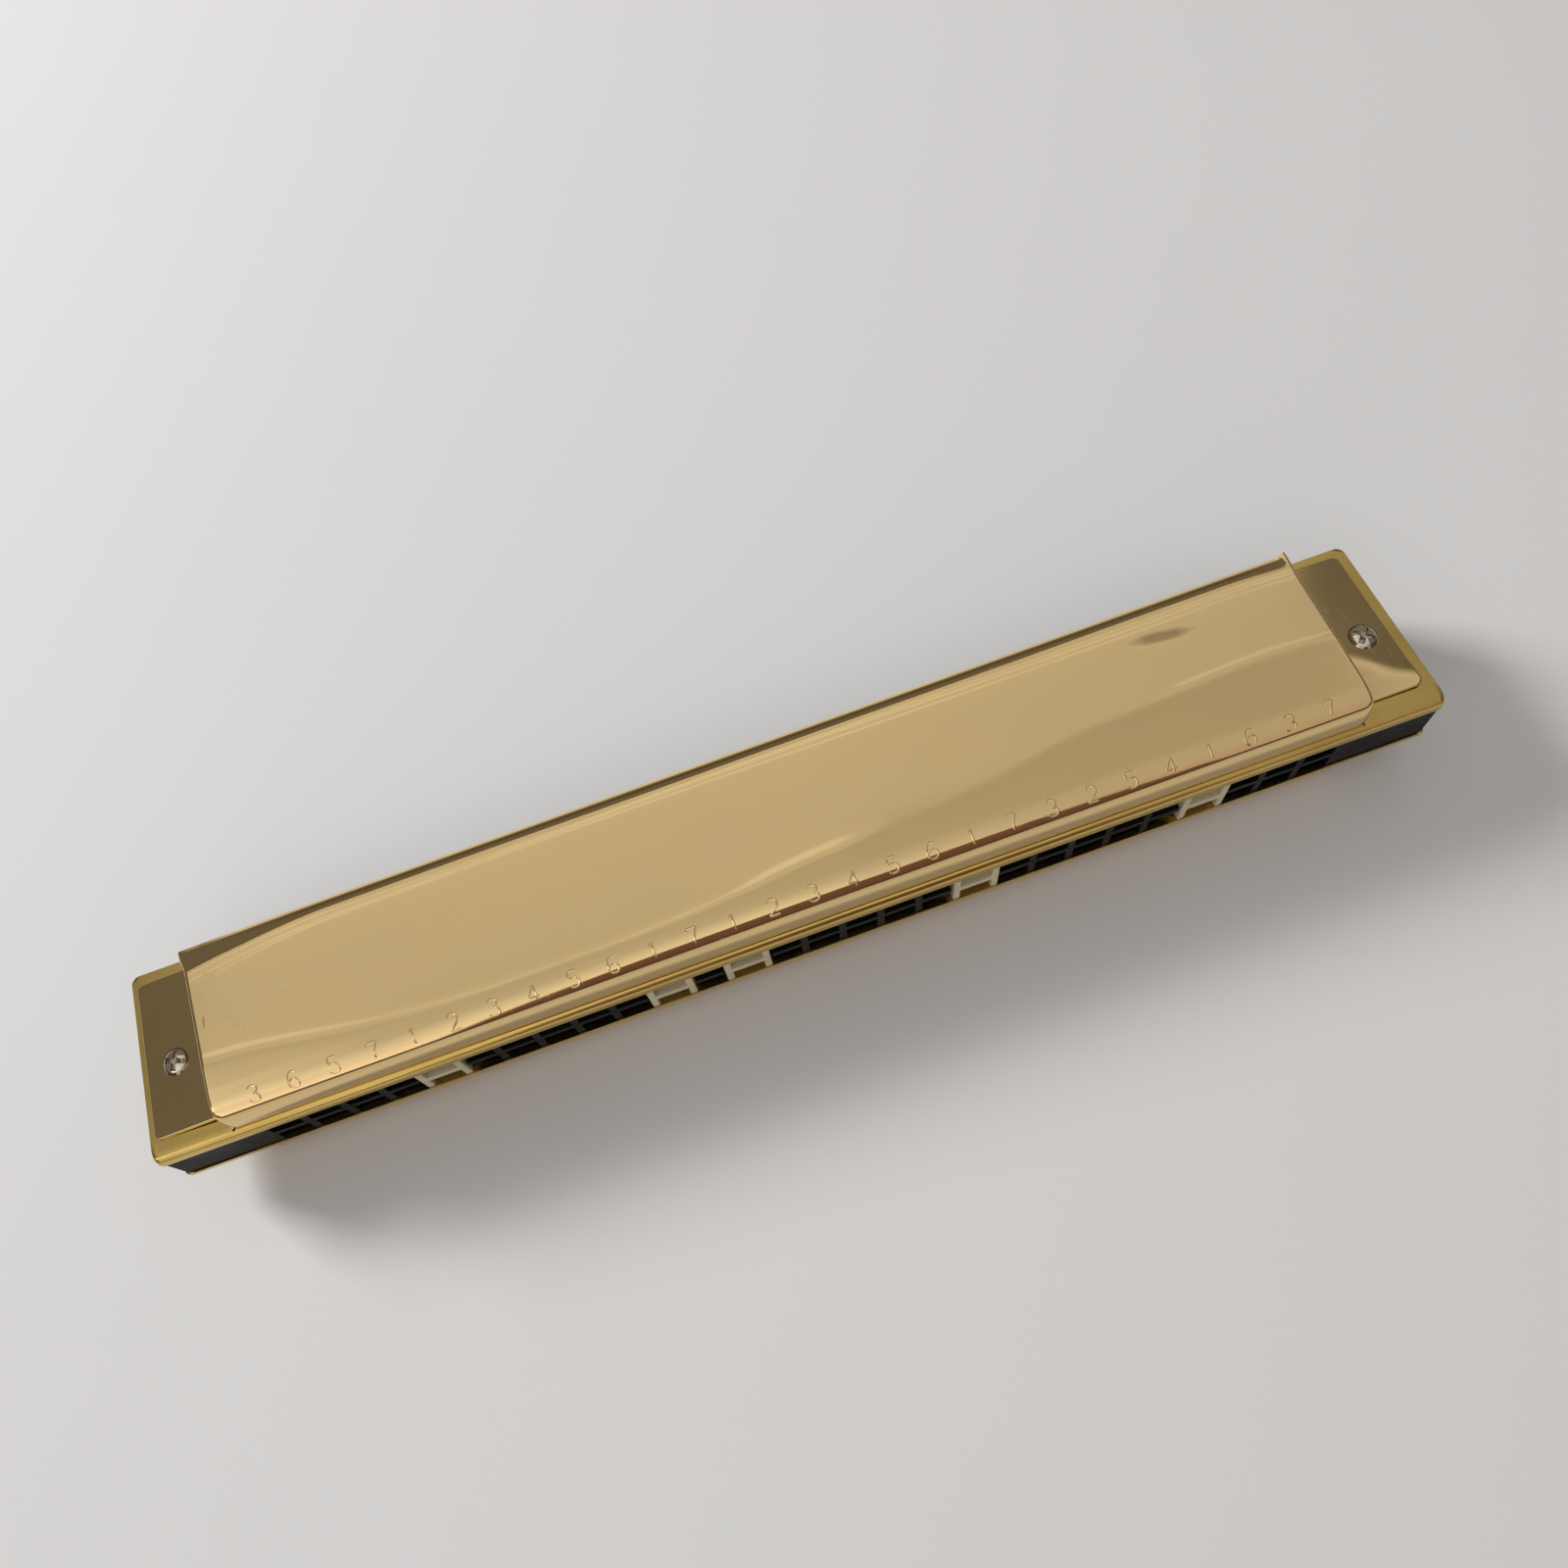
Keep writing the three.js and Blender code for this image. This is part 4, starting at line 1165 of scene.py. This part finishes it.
def recess_rows(profile):
    """How many of the profile's first rows belong to the top of the head: those before it turns under."""
    radius = np.array(profile)[:, 0]
    return int(np.argmax(radius)) - 1


def domed_head(head, rise, foot, count=48):
    """Top of a head from near the axis to the rim: an ellipse of power 2.6, so it is flat on top and full
    at the shoulder."""
    r = head * np.concatenate([[0.02], np.linspace(0.06, 0.86, count - 8), np.linspace(0.88, 1.0, 7)])
    z = foot + rise * (1 - (r / head) ** 2.6 * 0.94)
    return [*zip(r, z), (head, foot + 0.01), (head * 0.97, foot - SINK)]


print("depth in the middle of a cross recess:", float(cross_depth(np.array(0.0), np.array(0.0))))


# %% Bolts and plate screws
BOLT_HEAD, BOLT_SHANK, BOLT_CHAMFER, BOLT_END = 2.33, 1.2, 0.3, 0.92
SCREW_HEAD, SCREW_SHANK, SCREW_END = 1.3, 0.7, 0.35
CROSS_DEEP, SLOT_DEEP = 0.85, 0.26


def bolt(side, turn):
    """Cover bolt: domed head on the upper tab, shank through everything, chamfered end below the nut."""
    low, high = corners(f"cover_bolt_{side}")
    x, y = (low[0] + high[0]) / 2, (low[1] + high[1]) / 2
    end = low[2] - middle
    profile = domed_head(BOLT_HEAD, high[2] - middle - head_foot, head_foot)
    profile += [(BOLT_SHANK, head_foot - SINK), (BOLT_SHANK, end + BOLT_CHAMFER), (BOLT_END, end)]
    part = turned_part(x, y, profile, cross_depth, CROSS_DEEP, turn)
    piece = new_piece(f"cover_bolt_{side}_turned", [part], nickel, [f"cover_bolt_{side}"])
    return finish_mesh(piece, 38)


def plate_screw(half, index):
    """Plate screw: low slotted head on the rear land of a plate, short shank into the comb."""
    name = f"{half}_plate_screw_{index}"
    low, high = corners(name)
    x, y = (low[0] + high[0]) / 2, (low[1] + high[1]) / 2
    lower = half == "lower"
    top, end = (middle - low[2], middle - high[2]) if lower else (high[2] - middle, low[2] - middle)
    profile = domed_head(SCREW_HEAD, top - plate_top, plate_top, 18)
    profile += [(SCREW_SHANK, plate_top - SINK), (SCREW_SHANK, end + 0.3), (SCREW_END, end)]
    turn = 1.3 * index + (0 if lower else 0.5)
    part = turned_part(x, y, profile, slot_depth, SLOT_DEEP, turn, sides=48)
    piece = new_piece(name + "_turned", [part], screw_brass, [name], lower)
    return finish_mesh(piece, 38)


bolts = [bolt("left", -0.31), bolt("right", -0.73)]
screws = [plate_screw(half, i) for half in ("upper", "lower") for i in range(1, 6)]
print("bolts:", len(bolts), "plate screws:", len(screws))


# %% Hexagon nuts
NUT_HALF_FLATS, NUT_BORE, NUT_SIDES = 2.3, 1.21, 96
BORE_CHAMFER = (0.14, 0.12)  # outwards and down


def hex_nut(side):
    """A closed ring: the outside radius is half the width over flats divided by the cosine of the angle from
    the nearest flat's middle, and a cone of 30 degrees cuts the corners at both faces."""
    low, high = corners(f"cover_nut_{side}")
    x, y = (low[0] + high[0]) / 2, (low[1] + high[1]) / 2
    bottom, top = low[2] - middle, high[2] - middle
    flat, around = NUT_HALF_FLATS, np.linspace(0, 2 * math.pi, NUT_SIDES, endpoint=False)
    sixth = math.pi / 3
    outside = flat / np.cos((around + sixth / 2) % sixth - sixth / 2)
    chamfer = np.clip(outside - flat * 0.97, 0, None) * math.tan(math.radians(30))
    face = np.minimum(outside, flat * 0.97)
    wider, deep = BORE_CHAMFER
    rings = [(NUT_BORE, bottom + deep), (NUT_BORE, top - deep), (NUT_BORE + wider, top), (face, top),
             (outside, top - chamfer), (outside, bottom + chamfer), (face, bottom), (NUT_BORE + wider, bottom)]
    points = np.stack([np.stack([x + r * np.cos(around), y + r * np.sin(around),
                                 np.broadcast_to(z, around.shape)], -1) for r, z in rings])
    faces = grid_faces(len(rings), NUT_SIDES, close_rows=True, close_columns=True)
    name = f"cover_nut_{side}"
    piece = new_piece(name + "_hex", [facing_out(points, faces)], nickel, [name])
    return finish_mesh(piece, 25)


nuts = [hex_nut("left"), hex_nut("right")]
print("nut faces:", len(nuts[0].data.polygons))

# %% [markdown]
# ## Floor, light and camera
# The floor is plain and pale. The room is a wide soft box overhead and dim walls around, which the polished
# covers can mirror, and one soft lamp gives the shadow. A picture of a real room would mirror as well, but a
# few formulas are lighter and can be changed one by one. The camera's place was worked out from known places on
# the instrument: the numbers, the tabs and the plate corners.

# %% Floor
def floor():
    """A flat grid at height 0, far wider than the instrument."""
    reach = 3.0
    line = np.linspace(-reach, reach, 5)
    gx, gy = np.meshgrid(line, line, indexing="ij")
    points = np.stack([gx, gy, np.zeros_like(gx)], -1).reshape(-1, 3)
    mesh = bpy.data.meshes.new("floor")
    mesh.from_pydata(points.tolist(), [], grid_faces(5, 5).tolist())
    material, tree, shader = new_finish("pale floor", 0.0, 0.2)
    shade = stretched_noise(tree, (1, 1, 1), 6.0, 2.0)
    blended(tree, shader, shade, PALE_FLOOR, FLOOR_SHADE)
    shader.inputs["Roughness"].default_value = 0.9
    mesh.materials.append(material)
    made = bpy.data.objects.new("floor", mesh)
    bpy.context.scene.collection.objects.link(made)
    return made


floor_object = floor()
print("floor faces up:", floor_object.data.polygons[0].normal.z > 0)


# %% Light in the room, from the horizon behind (0) over the top to the horizon in front (1)
OVERHEAD = ((0.000, 0.00), (0.298, 0.00), (0.304, 0.50), (0.310, 0.62), (0.318, 0.44), (0.325, 0.50),
            (0.331, 0.67), (0.342, 0.67), (0.350, 0.48), (0.380, 0.48), (0.387, 0.375), (0.397, 0.42),
            (0.440, 0.42), (0.520, 0.44), (1.000, 0.44))
FRONT_EDGE, FRONT_EDGE_MOST, EDGE_GROWTH, EDGE_MIDDLE = 0.772, 0.955, 20.0, 0.07
AROUND = ((0.000, (0.085, 0.072, 0.058)), (0.040, (0.100, 0.086, 0.070)), (0.100, (0.155, 0.146, 0.128)),
          (0.250, (0.162, 0.148, 0.128)), (0.290, (0.150, 0.122, 0.100)), (0.330, (0.160, 0.148, 0.135)),
          (0.740, (0.160, 0.148, 0.135)), (0.780, (0.172, 0.098, 0.077)), (0.930, (0.152, 0.084, 0.065)),
          (1.000, (0.060, 0.042, 0.034)))


def colour_ramp(tree, share, stops_and_colours):
    """A colour ramp on a value, from (place, colour) pairs."""
    ramp = node(tree, "ShaderNodeValToRGB")
    stops = ramp.color_ramp.elements
    while len(stops) < len(stops_and_colours):
        stops.new(0.5)
    for stop, (position, colour) in zip(stops, stops_and_colours):
        stop.position = position
        stop.color = (*colour, 1)
    tree.links.new(share, ramp.inputs["Fac"])
    return ramp.outputs["Color"]


def patch_of(tree, amount, *ranges):
    """An amount times several held ranges, each (value, low, high) or (value, low, high, to low, to high)."""
    level = amount
    for value, *ends in ranges:
        level = combine(tree, "MULTIPLY", spread(tree, value, *ends), level)
    return level


print("light overhead at", len(OVERHEAD), "angles, walls at", len(AROUND))


# %% The room, as light from every direction
def room():
    """World light as a function of direction. The angle goes from the horizon behind (0) over the top to the
    horizon in front (1). Overhead hangs a wide soft box, brighter to the left in front. It ends at both sides,
    above the horizon behind, and in front along the curve angle = 0.772 + 20 (x - 0.07) to the fourth, which is
    held at 0.955. In front on the left is a brighter window. Around them the walls are dim, warmer in front."""
    world = bpy.data.worlds.new("room")
    bpy.context.scene.world = world
    world.use_nodes = True
    tree = world.node_tree
    place = node(tree, "ShaderNodeTexCoord")
    parts = node(tree, "ShaderNodeSeparateXYZ")
    tree.links.new(place.outputs["Generated"], parts.inputs["Vector"])
    x, y, z = parts.outputs
    share = combine(tree, "DIVIDE", combine(tree, "ARCTAN2", combine(tree, "MAXIMUM", z, 0.0), y), math.pi)
    halves = [(stop, (level / 2,) * 3) for stop, level in OVERHEAD]
    level = combine(tree, "MULTIPLY", colour_ramp(tree, share, halves), 2.0)
    patches = (
        (0.60, (x, 0.31, 0.05), (share, 0.52, 0.95)),  # brighter in front, on the left
        (0.18, (x, -0.26, -0.38), (share, 0.392, 0.412), (share, 0.76, 0.70)),  # and along the left side
        (-0.055, (x, -0.30, 0.20), (share, 0.380, 0.387), (share, 0.50, 0.42)),  # dimmer over the right
        (-0.22, (x, -0.385, -0.405), (share, 0.362, 0.352), (share, 0.330, 0.340)),  # left rear corner
        (0.20, (x, -0.395, -0.410), (share, 0.388, 0.396)),  # bright strip along the left border
        (0.15, (x, 0.455, 0.475), (share, 0.374, 0.384), (share, 0.50, 0.42)),  # and the right one
        (-0.16, (x, 0.455, 0.475), (share, 0.372, 0.360), (share, 0.330, 0.340)))  # right rear corner
    for amount, *ranges in patches:
        level = combine(tree, "ADD", level, patch_of(tree, amount, *ranges))
    aside = combine(tree, "ABSOLUTE", combine(tree, "SUBTRACT", x, EDGE_MIDDLE), 0.0)
    further = combine(tree, "MULTIPLY", combine(tree, "POWER", aside, 4.0), EDGE_GROWTH)
    front_edge = combine(tree, "MINIMUM", combine(tree, "ADD", further, FRONT_EDGE), FRONT_EDGE_MOST)
    before_edge = combine(tree, "SUBTRACT", front_edge, share)
    leaning = combine(tree, "ADD", x, spread(tree, share, 0.380, 0.395, 0.0, 0.04))
    inside = patch_of(tree, 1.0, (before_edge, -0.005, 0.005), (share, 0.296, 0.304),
                      (leaning, -0.425, -0.395), (x, 0.535, 0.510), (x, 0.10, 0.45, 1.0, 0.85))
    level = combine(tree, "MULTIPLY", level, inside)
    window = patch_of(tree, 1.5, (x, -0.40, -0.45), (x, -0.80, -0.75), (share, 0.62, 0.64), (share, 0.77, 0.75))
    level = combine(tree, "MAXIMUM", level, window)
    dim = tree.nodes["Background"]
    tree.links.new(colour_ramp(tree, share, AROUND), dim.inputs["Color"])
    box = node(tree, "ShaderNodeBackground", Color=(1, 1, 1, 1))
    tree.links.new(level, box.inputs["Strength"])
    both = node(tree, "ShaderNodeAddShader")
    tree.links.new(dim.outputs[0], both.inputs[0])
    tree.links.new(box.outputs[0], both.inputs[1])
    tree.links.new(both.outputs[0], tree.nodes["World Output"].inputs["Surface"])
    return world


world = room()
print("world nodes:", len(world.node_tree.nodes))


# %% Lamp
def soft_lamp(name, place, target, size, power):
    """A square area lamp turned to face a point. It lights the floor and the plastic, but the metals mirror
    only the room, so no hard white spots appear on their edges."""
    data = bpy.data.lights.new(name, "AREA")
    data.shape = "SQUARE"
    data.size = size
    data.energy = power
    lamp = bpy.data.objects.new(name, data)
    lamp.location = place
    lamp.visible_glossy = False
    lamp.rotation_euler = (Vector(target) - Vector(place)).to_track_quat("-Z", "Y").to_euler()
    bpy.context.scene.collection.objects.link(lamp)
    return lamp


lamp = soft_lamp("key lamp", (-1.05, 0.85, 0.80), (0, 0, 0), 0.45, 20.0)
print("lamp:", lamp.name, lamp.data.energy, "W")


# %% Camera
def photo_camera():
    """Camera from its place and the directions of image right, image up and back, in the object's axes. The
    lens is 29.25 on a 36 wide sensor. The view isn't centred on the lens, so the camera has a small shift."""
    data = bpy.data.cameras.new("camera")
    data.sensor_width = 36.0
    data.lens = 29.25
    data.shift_x = 0.0614
    data.shift_y = -0.0005
    data.clip_start = 0.01
    camera = bpy.data.objects.new("camera", data)
    right = (0.9415889, -0.3028782, -0.1472248)
    up = (0.3367199, 0.8396138, 0.4262258)
    back = (-0.0054825, -0.4509030, 0.8925561)
    place = (-0.01006, -0.07963, 0.20701)
    matrix = Matrix([(right[i], up[i], back[i], place[i]) for i in range(3)] + [(0, 0, 0, 1)])
    camera.matrix_world = matrix
    bpy.context.scene.collection.objects.link(camera)
    bpy.context.scene.camera = camera
    return camera


camera = photo_camera()
bpy.context.scene.view_settings.view_transform = "Standard"
print("camera at", [round(v, 4) for v in camera.location])
